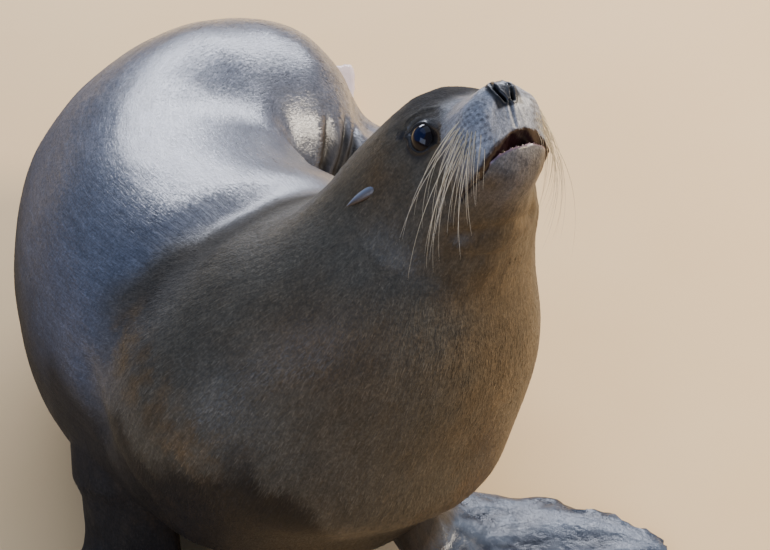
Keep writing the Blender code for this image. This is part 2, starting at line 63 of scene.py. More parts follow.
def setInputs(tree, node, inputs):
    for key, value in inputs:
        if isinstance(value, bpy.types.NodeSocket):
            tree.links.new(value, node.inputs[key])
        else:
            node.inputs[key].default_value = value


def addNode(tree, kind, inputs=(), output=0, **settings):  # gives back one output, or the node for None
    node = tree.nodes.new(kind)
    for name, value in settings.items():
        setattr(node, name, value)
    setInputs(tree, node, inputs.items() if isinstance(inputs, dict) else enumerate(inputs))
    return node if output is None or not node.outputs else node.outputs[output]


def addObject(name, data):
    made = bpy.data.objects.new(name, data)
    bpy.context.scene.collection.objects.link(made)
    return made


def shadeSmooth(mesh):
    mesh.polygons.foreach_set("use_smooth", [True] * len(mesh.polygons))


def makeMesh(name, points, faces, material=None):
    mesh = bpy.data.meshes.new(name)
    mesh.from_pydata([tuple(map(float, p)) for p in points], [], faces)
    shadeSmooth(mesh)
    if material:
        mesh.materials.append(material)
    return addObject(name, mesh)


def tubeFaces(rings, turns):  # quads between closed rings of points
    faces = []
    for ring in range(rings):
        for step in range(turns):
            a, b = ring * turns + step, ring * turns + (step + 1) % turns
            faces.append((a, b, b + turns, a + turns))
    return faces


def endFaces(rings, turns):
    return [tuple(reversed(range(turns))), tuple(range(rings * turns, (rings + 1) * turns))]


def tidyNormals(mesh, gap=None):  # doubles merged and every face turned outwards
    shape = bmesh.new()
    shape.from_mesh(mesh)
    if gap:
        bmesh.ops.remove_doubles(shape, verts=shape.verts, dist=gap)
    bmesh.ops.recalc_face_normals(shape, faces=shape.faces)
    shape.to_mesh(mesh)
    shape.free()


def setAttribute(mesh, name, values, kind="FLOAT"):
    attribute = mesh.attributes.get(name) or mesh.attributes.new(name, kind, "POINT")
    key = {"FLOAT": "value", "FLOAT_VECTOR": "vector"}[kind]
    attribute.data.foreach_set(key, np.ascontiguousarray(values, np.float32).ravel())


def readRows(rows, key, width, kind):
    values = np.empty(len(rows) * width, kind)
    rows.foreach_get(key, values)
    return values.reshape(-1, width)


def meshPoints(mesh):
    return readRows(mesh.vertices, "co", 3, np.float32).astype(float)


def meshNormals(mesh):
    return readRows(mesh.vertex_normals, "vector", 3, np.float32).astype(float)


def meshEdges(mesh):
    return readRows(mesh.edges, "vertices", 2, np.int32)


def putPoints(mesh, points):
    mesh.vertices.foreach_set("co", np.ascontiguousarray(points, np.float32).ravel())
    mesh.update()


def evaluated(thing):
    graph = bpy.context.evaluated_depsgraph_get()
    return bpy.data.meshes.new_from_object(thing.evaluated_get(graph), depsgraph=graph)


# The head's own directions and the tip of the nose, found from the two eyeballs.
head = {
    "way": (0.365, -0.404, 0.838),  # the way the nose points
    "crown": (-0.375, 0.760, 0.530),
    "eyeBehind": 0.1113,  # how far the eyeballs' middles are behind the nose tip
    "eyeBelow": 0.0003,
    "nose": (0.128, -0.593, 0.800),  # the nose tip in the body tables below
}
eyeMiddles = {side: np.mean(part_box("eye_" + side), axis=0) for side in ("left", "right")}
headWay = unit(head["way"])
headUp = unit(np.asarray(head["crown"]) - np.dot(head["crown"], headWay) * headWay)
headLeft = np.cross(headUp, headWay)
noseTip = (eyeMiddles["left"] + eyeMiddles["right"]) / 2 + head["eyeBehind"] * headWay + head["eyeBelow"] * headUp
bodyStart = noseTip - np.asarray(head["nose"])


def inHead(behind, left, up):
    return noseTip - behind * headWay + left * headLeft + up * headUp


def headDirection(ahead, left, up):
    return unit(ahead * headWay + left * headLeft + up * headUp)


def headPlaces(points):  # behind, left of and above the nose tip
    away = np.asarray(points) - noseTip
    return np.stack([-away @ headWay, away @ headLeft, away @ headUp], axis=-1)


# Camera
view = {"distance": 4.37, "elevation": 42.0, "lens": 149.6, "sensor": 36}
cameraData = bpy.data.cameras.new("camera")
cameraData.sensor_width, cameraData.lens = view["sensor"], view["lens"]
camera = addObject("camera", cameraData)
elevation = math.radians(view["elevation"])
cameraWay = Vector((0, -math.cos(elevation), math.sin(elevation)))
camera.location = Vector(bodyStart) + view["distance"] * cameraWay
camera.rotation_euler = (math.pi / 2 - elevation, 0, 0)
bpy.context.scene.camera = camera

# Lines through the body and the flippers, each from its front or root back: a place and a half width there.
bodyLines = {
    "neck": (
        (0.128, -0.593, 0.800, 0.030), (0.112, -0.575, 0.742, 0.055), (0.085, -0.562, 0.690, 0.085),
        (0.062, -0.550, 0.620, 0.110), (0.030, -0.545, 0.540, 0.140), (0.013, -0.540, 0.455, 0.175),
        (-0.034, -0.522, 0.370, 0.210), (-0.091, -0.515, 0.265, 0.240), (-0.114, -0.535, 0.115, 0.160),
    ),
    "trunk": (
        (-0.060, -0.530, 0.300, 0.150), (-0.120, -0.460, 0.280, 0.215), (-0.215, -0.350, 0.250, 0.225),
        (-0.262, -0.220, 0.222, 0.215), (-0.255, -0.110, 0.210, 0.212), (-0.185, -0.018, 0.208, 0.205),
        (-0.105, -0.012, 0.208, 0.175), (-0.050, -0.062, 0.150, 0.148), (0.045, -0.112, 0.110, 0.105),
        (0.115, -0.165, 0.055, 0.040), (0.155, -0.200, 0.026, 0.014),
    ),
    "foreflipper_left": (
        (-0.020, -0.490, 0.240, 0.085), (0.010, -0.510, 0.130, 0.078), (0.055, -0.520, 0.050, 0.074),
        (0.140, -0.535, 0.021, 0.092), (0.225, -0.535, 0.013, 0.088), (0.305, -0.533, 0.009, 0.064),
        (0.353, -0.520, 0.006, 0.026),
    ),
    "foreflipper_right": (
        (-0.280, -0.480, 0.290, 0.100), (-0.318, -0.517, 0.165, 0.088), (-0.308, -0.580, 0.060, 0.072),
        (-0.342, -0.655, 0.023, 0.086), (-0.390, -0.725, 0.013, 0.086), (-0.440, -0.785, 0.009, 0.064),
        (-0.475, -0.815, 0.006, 0.026),
    ),
    "hindflipper_left": (
        (0.010, -0.130, 0.085, 0.060), (0.035, -0.205, 0.045, 0.042), (0.052, -0.262, 0.020, 0.047),
        (0.058, -0.318, 0.012, 0.056), (0.060, -0.372, 0.008, 0.060),
    ),
    "hindflipper_right": (
        (-0.020, -0.050, 0.085, 0.060), (-0.070, 0.090, 0.055, 0.044), (-0.096, 0.180, 0.028, 0.048),
        (-0.104, 0.290, 0.020, 0.058), (-0.102, 0.378, 0.046, 0.062),
    ),
}
flippers = [name for name in bodyLines if "flipper" in name]


def densify(rows, count=80):
    rows = np.asarray(rows, float)
    rows[:, :3] += bodyStart
    steps = np.concatenate([[0], np.cumsum(np.linalg.norm(np.diff(rows[:, :3], axis=0), axis=1))])
    at = np.linspace(0, steps[-1], count)
    dense = np.stack([np.interp(at, steps, rows[:, i]) for i in range(4)], axis=1)
    for _ in range(30):
        dense[1:-1] += 0.5 * ((dense[:-2] + dense[2:]) / 2 - dense[1:-1])
    tangents = unit(np.gradient(dense[:, :3], axis=0))
    sides = [unit(np.cross(tangents[0], (0.31, 0.17, 0.93)))]
    for tangent in tangents[1:]:  # carried along without twist
        sides.append(unit(sides[-1] - np.dot(sides[-1], tangent) * tangent))
    return {
        "places": dense[:, :3], "radii": dense[:, 3], "tangents": tangents, "sides": np.array(sides),
        "along": at,
    }


def followLine(line, points):
    # For each point: nearness, the way back, and its straightened place across, up and along.
    result = {key: [] for key in ("near", "way", "lane")}
    for chunk in np.array_split(points, max(1, len(points) // 20000)):
        gap = np.linalg.norm(chunk[:, None, :] - line["places"][None], axis=2) / line["radii"][None]
        weight = np.exp(-9 * (gap**2 - gap.min(axis=1, keepdims=True) ** 2))
        weight /= weight.sum(axis=1, keepdims=True)
        along, centre = weight @ line["along"], weight @ line["places"]
        way, side = unit(weight @ line["tangents"]), weight @ line["sides"]
        side = unit(side - np.sum(side * way, axis=1, keepdims=True) * way)
        offset = chunk - centre
        lane = [np.sum(offset * side, axis=1), np.sum(offset * np.cross(way, side), axis=1), along]
        result["near"].append(gap.min(axis=1))
        result["way"].append(way)
        result["lane"].append(np.stack(lane, axis=1))
    return {key: np.concatenate(value) for key, value in result.items()}


def closeTo(row, off=1.5):  # 1 on the flipper itself, 0 this many half widths from its line
    return ease(row["near"], off, 1.1)


def relax(points, edges, share, rounds):
    count = len(points)
    a, b = edges.T
    degree = np.bincount(a, minlength=count) + np.bincount(b, minlength=count)
    for _ in range(rounds):
        total = [np.bincount(a, points[b, k], count) + np.bincount(b, points[a, k], count) for k in range(3)]
        points = points + share[:, None] * (np.stack(total, axis=1) / np.maximum(degree, 1)[:, None] - points)
    return points


lines = {name: densify(rows) for name, rows in bodyLines.items()}
print("stage: lines ready")

# One skin over the body, the head and the flippers, and closed over the eyeballs, where lids are cut later.
skin = {
    "flesh": (
        "head", "lower_jaw", "nose_pad", "neck", "chest", "ribs", "loin", "hindquarters", "tail",
        "foreflipper_left", "foreflipper_right", "hindflipper_left", "hindflipper_right",
    ),
    "grow": 0.0005,  # closes the thin gaps between the solids
    "voxel": 0.0030,
    "coatDepth": 0.0012,
    "smoothRounds": 100,
    "bodyTriangles": 36000,
    "foldsMiddle": (-0.062, -0.085, 0.305), "foldsReach": 0.082,
}


def joinSolids(names, grow):
    joined = bmesh.new()
    for name in names:
        shape = bmesh.new()
        shape.from_mesh(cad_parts[name].data)
        bmesh.ops.remove_doubles(shape, verts=shape.verts, dist=1e-6)
        bmesh.ops.recalc_face_normals(shape, faces=shape.faces)
        shape.normal_update()
        for vertex in shape.verts:
            vertex.co += grow * vertex.normal
        part = bpy.data.meshes.new("part")
        shape.to_mesh(part)
        shape.free()
        joined.from_mesh(part)
        bpy.data.meshes.remove(part)
    mesh = bpy.data.meshes.new("sea_lion_skin")
    joined.to_mesh(mesh)
    joined.free()
    return mesh


skinObject = addObject("sea_lion_skin", joinSolids((*skin["flesh"], "eye_left", "eye_right"), skin["grow"]))
remesh = skinObject.modifiers.new("one_body", "REMESH")
remesh.mode, remesh.voxel_size, remesh.adaptivity = "VOXEL", skin["voxel"], 0
solid = evaluated(skinObject)
skinObject.modifiers.clear()
skinObject.data = solid

points = meshPoints(skinObject.data)
places = headPlaces(points)
atFlipper = np.zeros(len(points))
for name in flippers:
    row = followLine(lines[name], points)
    atFlipper = np.maximum(atFlipper, closeTo(row) * ease(row["lane"][:, 2], 0.05, 0.12))
toHead = ease(places[:, 0], 0.27, 0.16) * ease(np.linalg.norm(places[:, 1:], axis=1), 0.24, 0.18)
share = 0.6 * (1 - 0.93 * np.maximum(toHead, atFlipper))
edges = meshEdges(skinObject.data)
smooth = relax(points, edges, share, skin["smoothRounds"])
points = smooth + relax(points - smooth, edges, share, skin["smoothRounds"])  # facets go, the broad form stays
putPoints(skinObject.data, points)
points = points - (skin["coatDepth"] + skin["grow"]) * meshNormals(skinObject.data)
putPoints(skinObject.data, points)


def largestBody(mesh):  # drops any bubble left inside
    shape = bmesh.new()
    shape.from_mesh(mesh)
    shape.verts.ensure_lookup_table()
    seen, biggest = set(), []
    for start in shape.verts:
        if start.index in seen:
            continue
        seen.add(start.index)
        found, todo = [start], [start]
        while todo:
            for edge in todo.pop().link_edges:
                for vertex in edge.verts:
                    if vertex.index not in seen:
                        seen.add(vertex.index)
                        found.append(vertex)
                        todo.append(vertex)
        if len(found) > len(biggest):
            biggest = found
    keep = set(v.index for v in biggest)
    bmesh.ops.delete(shape, geom=[v for v in shape.verts if v.index not in keep], context="VERTS")
    shape.to_mesh(mesh)
    shape.free()
    mesh.update()


def trimBody(thing, wanted):  # fewer faces on the body, none lost on the face
    places = headPlaces(meshPoints(thing.data))
    face = (places[:, 0] < 0.150) & (np.linalg.norm(places[:, 1:], axis=1) < 0.16)
    group = thing.vertex_groups.new(name="body")
    group.add(np.nonzero(~face)[0].tolist(), 1.0, "REPLACE")
    trim = thing.modifiers.new("trim", "DECIMATE")
    trim.vertex_group = "body"
    trim.ratio = (wanted + 2 * face.sum()) / (2 * len(thing.data.polygons))
    mesh = evaluated(thing)
    thing.modifiers.clear()
    thing.vertex_groups.clear()
    thing.data = mesh


def refine(mesh, test):  # halves every edge that has both ends in the tested region
    shape = bmesh.new()
    shape.from_mesh(mesh)
    shape.verts.ensure_lookup_table()
    inside = test(np.array([v.co for v in shape.verts]))
    edges = [e for e in shape.edges if inside[e.verts[0].index] and inside[e.verts[1].index]]
    bmesh.ops.subdivide_edges(shape, edges=edges, cuts=1, use_grid_fill=True)
    bmesh.ops.triangulate(shape, faces=shape.faces[:])
    shape.to_mesh(mesh)
    shape.free()
    mesh.update()


def onFace(points):
    places = headPlaces(points)
    return (places[:, 0] < 0.126) & (np.abs(places[:, 1]) < 0.085) & (places[:, 2] > -0.105)


def onFeatures(points):  # round the eyes, on the nose and the whisker pads, and along the lips
    places = headPlaces(points)
    behind, left, up = places[:, 0], np.abs(places[:, 1]), places[:, 2]
    eyes = [np.linalg.norm(points - eyeMiddles[side], axis=1) < 0.027 for side in eyeMiddles]
    nose = (behind < 0.018) & (up > -0.034) & (left < 0.020)
    lips = (behind < 0.055) & (up < -0.040) & (up > -0.066) & (behind > -0.01)
    pads = (behind > 0.004) & (behind < 0.052) & (up > -0.052) & (up < 0.006) & (left > 0.012)
    return ((eyes[0] | eyes[1]) & (left > 0.046)) | nose | lips | pads


def onFolds(points):  # the close folds where the hind end turns down
    return np.linalg.norm(points - bodyStart - skin["foldsMiddle"], axis=1) < skin["foldsReach"]


trimBody(skinObject, skin["bodyTriangles"])
largestBody(skinObject.data)
for region in ((onFace, onFolds, onFolds, onFeatures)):
    refine(skinObject.data, region)
points = meshPoints(skinObject.data)
points = relax(points, meshEdges(skinObject.data), 0.5 * onFace(points), 4)
putPoints(skinObject.data, points)
print("stage: skin", len(points), len(skinObject.data.polygons))


def hump(distance, width):
    return np.exp(-((distance / width) ** 2))


def blob(places, centre, radii):
    return np.exp(-np.sum(((places - np.asarray(centre)) / np.asarray(radii)) ** 2, axis=1))


def toPath(places, path):  # distance to a bent line
    path = np.asarray(path, float)
    best = np.full(len(places), 9.0)
    for start, end in zip(path[:-1], path[1:]):
        t = np.clip((places - start) @ (end - start) / np.sum((end - start) ** 2), 0, 1)
        best = np.minimum(best, np.linalg.norm(places - start - t[:, None] * (end - start), axis=1))
    return best


def crease(distance, width, depth, rim=0.35):  # a groove with a soft rim on both sides
    return rim * depth * hump(distance - 2.1 * width, width) - depth * hump(distance, width)


def wander(points, size, seed, octaves=3):
    offset = Vector((seed * 7.3, seed * 3.1, seed * 5.7))
    return np.array([noise.fractal(Vector(p) / size + offset, 1.0, 2.0, octaves) for p in points])


def readTable(table, at):  # pairs of a place and the value there
    return np.interp(at, *np.array(table).T)


def bothAsLeft(places):  # the right side of the head folded onto the left one
    side = np.where(places[:, 1] < 0, -1.0, 1.0)
    return side, places * np.stack([np.ones(len(places)), side, np.ones(len(places))], axis=1)


# Lids: each opening is a pointed oval on the eyeball, and the skin drops under the eyeball inside it.
lids = {
    "halfLength": 0.86, "halfHeight": 0.74,  # of the opening, in eyeball radii
    "thickness": 0.0013, "drop": 0.0040, "reach": 0.0100,
    "upperFolds": (  # place outside the edge, width, height
        (0.0014, 0.0010, 0.0007), (0.0042, 0.0011, -0.0014), (0.0066, 0.0013, 0.0013), (0.0094, 0.0013, -0.0014),
        (0.0118, 0.0014, 0.0008),
    ),
    "lowerFolds": ((0.0015, 0.0010, 0.0006), (0.0046, 0.0012, -0.0009), (0.0082, 0.0018, 0.0006)),
}
eyeRadius = float((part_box("eye_left")[1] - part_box("eye_left")[0])[2]) / 2


def eyeFrame(side):
    turn = 1 if side == "left" else -1
    faces = headDirection(0.45, 0.86 * turn, 0.22)
    along = headDirection(-0.90, 0, 0.43)
    along = unit(along - np.dot(along, faces) * faces)
    upward = np.cross(faces, along) * turn
    return faces, along, upward * np.sign(np.dot(upward, headUp))


def lidPlace(points, side):
    # how far outside the opening's edge and over its middle line, then radius, direction and facing
    faces, along, upward = eyeFrame(side)
    away = points - np.asarray(eyeMiddles[side])
    radius = np.linalg.norm(away, axis=1)
    direction = away / np.maximum(radius, 1e-9)[:, None]
    x, y, z = direction @ along, direction @ upward, direction @ faces
    inside = np.clip(1 - (np.abs(x) / lids["halfLength"]) ** 2, 0, 1) ** 0.7
    over = np.abs(x) - lids["halfLength"]
    edge = np.where(over > 0, np.hypot(over, y), (np.abs(y) - lids["halfHeight"] * inside) * 0.9)
    edge = np.where(z > 0, edge, 1.0) * eyeRadius
    return edge, y * eyeRadius, radius, direction, z


# The face: places are behind, left of and above the nose tip.
face = {
    "swells": (  # height, middle and half sizes, the same on both sides
        (0.0038, (0.030, 0.036, -0.026), (0.024, 0.017, 0.020)),  # whisker pads
        (0.0018, (0.052, 0.046, -0.040), (0.020, 0.018, 0.016)),
        (-0.0016, (0.066, 0.030, 0.010), (0.030, 0.012, 0.014)),  # hollow in front of the eye
        (0.0022, (0.112, 0.046, 0.034), (0.022, 0.016, 0.012)),  # brow
        (-0.0020, (0.092, 0.000, 0.036), (0.020, 0.012, 0.012)),  # stop
        (0.0022, (0.128, 0.070, -0.045), (0.030, 0.020, 0.024)),  # cheek
    ),
    "creases": (  # width, depth and path: brow, eye corner, two in the throat, cheek
        (0.0026, 0.0016, ((0.131, 0.070, 0.012), (0.120, 0.058, 0.028), (0.104, 0.046, 0.032), (0.086, 0.038, 0.026))),
        (0.0034, 0.0012, ((0.126, 0.068, 0.008), (0.146, 0.075, 0.006), (0.164, 0.080, -0.002))),
        (0.0080, 0.0026, ((0.136, 0.049, -0.104), (0.107, 0.016, -0.117), (0.107, 0.000, -0.119))),
        (0.0075, 0.0034, ((0.170, 0.075, -0.110), (0.150, 0.030, -0.135), (0.148, 0.000, -0.138))),
        (0.0042, 0.0020, ((0.098, 0.052, -0.080), (0.118, 0.060, -0.088), (0.138, 0.064, -0.100))),
    ),
    "leftOnly": (  # the far side of the muzzle drawn in, the throat drawn out
        (-0.0080, (0.020, 0.036, -0.044), (0.030, 0.020, 0.018)),
        (0.0075, (0.168, 0.078, -0.085), (0.050, 0.032, 0.040)),
    ),
    "lipLine": ((0.040, -0.0615), (0.055, -0.0670), (0.078, -0.0715), (0.100, -0.0800)),
    "slits": (  # nostrils, which close in to the middle below
        ((0.015, -0.0060, 0.0110), (0.007, -0.0098, 0.0040), (0.003, -0.0085, -0.0060), (0.002, -0.0045, -0.0155)),
        ((0.014, 0.0125, 0.0080), (0.005, 0.0112, 0.0000), (0.002, 0.0082, -0.0080), (0.002, 0.0045, -0.0155)),
    ),
    "philtrum": ((0.002, -0.0005, -0.018), (0.003, -0.002, -0.029), (0.006, -0.002, -0.040)),
}
points = meshPoints(skinObject.data)
normals = meshNormals(skinObject.data)
places = headPlaces(points)
headReach = np.linalg.norm(places, axis=1)
side, folded = bothAsLeft(places)
nearHead = ease(places[:, 0], 0.30, 0.20)

lift = np.zeros(len(points))
for height, middle, sizes in face["swells"]:
    lift += height * blob(folded, middle, sizes)
for width, depth, path in face["creases"]:
    lift += crease(toPath(folded, path), width, depth)
for height, middle, sizes in face["leftOnly"]:
    lift += height * blob(places, middle, sizes)
lipLine = np.abs(folded[:, 2] - readTable(face["lipLine"], folded[:, 0]))
lipLine = np.hypot(lipLine, np.clip(0.050 - folded[:, 0], 0, 1))
lipLine = lipLine + np.clip(folded[:, 0] - 0.098, 0, 1) + np.clip(0.030 - folded[:, 1], 0, 1)
lift += crease(lipLine, 0.0021, 0.0026, 0.2) * ease(headReach, 0.16, 0.14)
slit = np.minimum(*[toPath(places, path) for path in face["slits"]])
lift += crease(slit, 0.0017, 0.0062, 0.17)
lift += crease(toPath(places, face["philtrum"]), 0.0019, 0.0024, 0.25)

# Folds of the body: in front of the arm, over the shoulder and where the hind end turns down.
folds = {
    "arm": (
        (-0.352, -0.545, 0.352), (-0.336, -0.582, 0.322), (-0.311, -0.626, 0.282), (-0.278, -0.650, 0.232),
        (-0.255, -0.660, 0.160),
    ),
    "hind": (  # height, width, path: three grooves and the rolls beside them
        (-0.0052, 0.0062, ((-0.078, -0.060, 0.345), (-0.075, -0.100, 0.322), (-0.083, -0.150, 0.285))),
        (-0.0056, 0.0048, ((-0.053, -0.030, 0.320), (-0.051, -0.077, 0.303), (-0.065, -0.125, 0.283))),
        (-0.0085, 0.0050, ((-0.037, -0.020, 0.298), (-0.041, -0.085, 0.292), (-0.054, -0.125, 0.275))),
        (0.0024, 0.0080, ((-0.089, -0.060, 0.352), (-0.088, -0.118, 0.320), (-0.096, -0.155, 0.288))),
        (0.0040, 0.0052, ((-0.062, -0.040, 0.328), (-0.063, -0.105, 0.302), (-0.076, -0.140, 0.288))),
        (0.0030, 0.0050, ((-0.044, -0.020, 0.308), (-0.046, -0.077, 0.298), (-0.058, -0.115, 0.286))),
    ),
    "slope": (0, 0.669, 0.743), "down": (0.222, 0.172),  # where the folds begin and are full, down the slope
    "shoulder": (
        (-0.284, -0.493, 0.444), (-0.257, -0.473, 0.460), (-0.215, -0.459, 0.474), (-0.157, -0.425, 0.483),
        (-0.080, -0.360, 0.470),
    ),
}
inBody = points - bodyStart
lift += crease(toPath(inBody, folds["arm"]), 0.014, 0.0085, 0.3)
follow = {name: followLine(line, points) for name, line in lines.items()}
# the fold grooves and the zone around them are later painted dark as shade
foldDark = np.zeros(len(points))
foldShare = ease(inBody @ np.array(folds["slope"]), *folds["down"])
for height, width, path in folds["hind"]:
    there = foldShare * hump(toPath(inBody, path), width)
    lift += height * there
    if height < 0:
        foldDark = np.maximum(foldDark, there)
shoulder = np.array(folds["shoulder"])
lift -= 0.0045 * hump(toPath(inBody, shoulder + (0, 0.018, -0.004)), 0.020)
foldZone = foldShare * blob(inBody, (-0.055, -0.110, 0.290), (0.040, 0.060, 0.045))
lift -= 0.0200 * blob(inBody, (-0.013, 0.008, 0.270), (0.032, 0.050, 0.040))  # the right edge of the back
lift += 0.0030 * wander(points, 0.16, 1, 2) * (1 - nearHead)
lift += 0.0007 * wander(points, 0.030, 2, 2)
points = points + lift[:, None] * normals

# Lips: the upper ones hang over the sides of the mouth, the lower one comes up to them.
lips = {  # how far behind the nose tip, and the height or shift there
    "upper": (
        (-0.040, -0.042), (0.014, -0.048), (0.034, -0.057), (0.055, -0.064), (0.078, -0.070), (0.096, -0.076),
    ),
    "lower": (
        (-0.040, -0.061), (0.012, -0.063), (0.032, -0.067), (0.053, -0.070), (0.076, -0.073), (0.096, -0.076),
    ),
    "hang": (
        (-0.01, 0.0), (0.010, 0.0035), (0.025, 0.0088), (0.040, 0.0116), (0.056, 0.0098), (0.080, 0.0056),
        (0.105, 0.0),
    ),
    "rise": ((-0.01, 0.0055), (0.020, 0.0050), (0.040, 0.0020), (0.060, 0.0005), (0.105, 0.0)),
    "farSide": 0.72,  # share of the hang on the left
}
behind, left, up = folded.T
upperLip, lowerLip = readTable(lips["upper"], behind), readTable(lips["lower"], behind)
isUpper = up > (upperLip + lowerLip) / 2
awayFromMiddle = ease(left, 0.006, 0.024)
hang = readTable(lips["hang"], behind) * awayFromMiddle * ease(up, upperLip + 0.030, upperLip + 0.003)
hang = hang * np.where(places[:, 1] > 0, lips["farSide"], 1.0)
rise = readTable(lips["rise"], behind) * ease(up, lowerLip - 0.034, lowerLip - 0.004)
nearMouth = ease(headReach, 0.145, 0.125)
shift = np.where(isUpper, -hang, rise) * nearMouth
shift += 0.0070 * blob(places, (0.004, 0.0, 0.004), (0.030, 0.030, 0.026))
points = points + shift[:, None] * headUp
# where they overlap, the upper lip stands out over the lower one
over = ease(behind, 0.030, 0.046) * ease(behind, 0.104, 0.090) * nearMouth * awayFromMiddle
upperOut = 0.0026 * ease(up, upperLip + 0.010, upperLip)
outward = np.where(isUpper, upperOut, -0.0022 * ease(up, lowerLip - 0.008, lowerLip))
points = points + (over * outward * side)[:, None] * headLeft

# Flippers: slanted ridges of the fingers and lumps on the bare skin, and stepped ends of the fingers.
# The bare skin is painted lighter on its ridges and lumps and darker in the hollows, as highlight and shade.
flipper = {
    "steps": ((0.290, 0.372, 0.0), (0.372, 0.430, -0.65), (0.430, 0.498, -0.65)), "stepDepth": 0.013,
    "ridgeHeight": {"fore": 0.0065, "hind": 0.0030}, "lumpHeight": 0.0036, "knobHeight": 0.0014,
}
hideTone = 0.5 * np.ones(len(points))
for name in flippers:
    row = follow[name]
    along = row["lane"][:, 2]
    fore = "fore" in name
    inside = ease(row["near"], 1.25, 0.95) * ease(along, 0.16, 0.24 if fore else 0.20)
    half = np.interp(along, lines[name]["along"], lines[name]["radii"])
    sideways = unit(np.cross(row["way"], (0, 0, 1)))
    centre = [np.interp(along, lines[name]["along"], lines[name]["places"][:, k]) for k in range(3)]
    offset = np.sum((points - np.stack(centre, axis=1)) * sideways, axis=1)
    fan = np.clip(offset / half, -1, 1)
    back = fan if name == "foreflipper_right" else -fan
    if fore:
        reach = ease(along, 0.22, 0.42)
        slant = 2 * math.pi * (6 * (along - 0.372) - (back - 1)) / 0.36 + math.pi
    else:
        reach = 0.6
        slant = fan * math.pi * 3.6 + 0.6
    ridges = 0.5 + 0.5 * np.cos(slant)
    top = ease(normals[:, 2], 0.1, 0.6)
    lumps, knobs = wander(points, 0.045, 5, 2), wander(points, 0.012, 6, 2)
    height = flipper["ridgeHeight"][name[:4]] * ridges * (0.15 + 0.85 * reach)
    height = height + flipper["lumpHeight"] * lumps + flipper["knobHeight"] * knobs
    points = points + (inside * top * height)[:, None] * normals
    # painted highlight on the ridges, lumps and knobs, painted shade in the hollows between
    tone = np.clip(0.10 + 0.75 * ridges + 0.6 * lumps + 0.5 * knobs, 0, 1)
    hideTone = np.where(inside > 0.2, tone, hideTone)
    if fore:  # the trailing edge is stepped where each finger ends
        saw = np.zeros(len(points))
        for start, end, low in flipper["steps"]:
            t = (along - start) / (end - start)
            saw = np.where((t > 0) & (t <= 1), low + (0.65 - low) * t * ease(t, 1.0, 0.93), saw)
        edgeShare = inside * ease(back, 0.35, 0.95)
        points = points + (edgeShare * flipper["stepDepth"] * saw * np.sign(offset))[:, None] * sideways

for name in eyeMiddles:
    edge, above, radius, direction, facing = lidPlace(points, name)
    near = (facing > 0.05) & (radius < eyeRadius + 0.014)
    lid = eyeRadius + lids["thickness"] * ease(edge, lids["reach"], 0.004)
    lidFolds = np.zeros(len(points))
    for key, sign in (("upperFolds", 1), ("lowerFolds", -1)):
        for place, width, height in lids[key]:
            lidFolds += ease(above, -0.002 * sign, 0.003 * sign) * height * hump(edge - place, width)
    lid = np.maximum(radius, lid) + lidFolds * ease(edge, 0.016, 0.010)
    share = ease(edge, -0.0006, 0.0007)
    target = (eyeRadius - lids["drop"]) * (1 - share) + lid * share
    moved = np.asarray(eyeMiddles[name]) + direction * target[:, None]
    points = np.where(near[:, None], moved, points)

skinFloor = 0.0006  # the lowest the skin comes, metres
points[:, 2] = np.maximum(points[:, 2], skinFloor)
putPoints(skinObject.data, points)
edges = meshEdges(skinObject.data)
points = relax(points, edges, 0.35 + 0.25 * onFolds(points), 1)
points = relax(points, edges, 0.5 * onFolds(points), 2)
points[:, 2] = np.maximum(points[:, 2], skinFloor)
putPoints(skinObject.data, points)
print("stage: head and folds", len(points), len(skinObject.data.polygons))

# The finished skin, to find where ears and whiskers leave it.
skinFaces = [tuple(p.vertices) for p in skinObject.data.polygons]
skinTree = BVHTree.FromPolygons([Vector(p) for p in points], skinFaces)

# Whiskers: long tapered horn bristles in rows on each pad, longest at the back.
whisker = {
    "rows": 7, "columns": 8, "rings": 18, "sides": 6, "girth": 0.00048, "sunk": 0.002, "seed": 7,
    "corners": (  # rear top, rear bottom, front top, front bottom
        (0.042, 0.046, -0.010), (0.048, 0.052, -0.044), (0.010, 0.022, -0.001), (0.014, 0.030, -0.044),
    ),
    "sweeps": ((0.150, 0.046, -0.094), (0.078, 0.016, -0.078), (0.012, 0.004, -0.018)),  # rear, middle, front
    "straight": "#c9b48e", "tip": "#f3ead6", "other": "#e2d3b2", "mottle": 3.333,
}


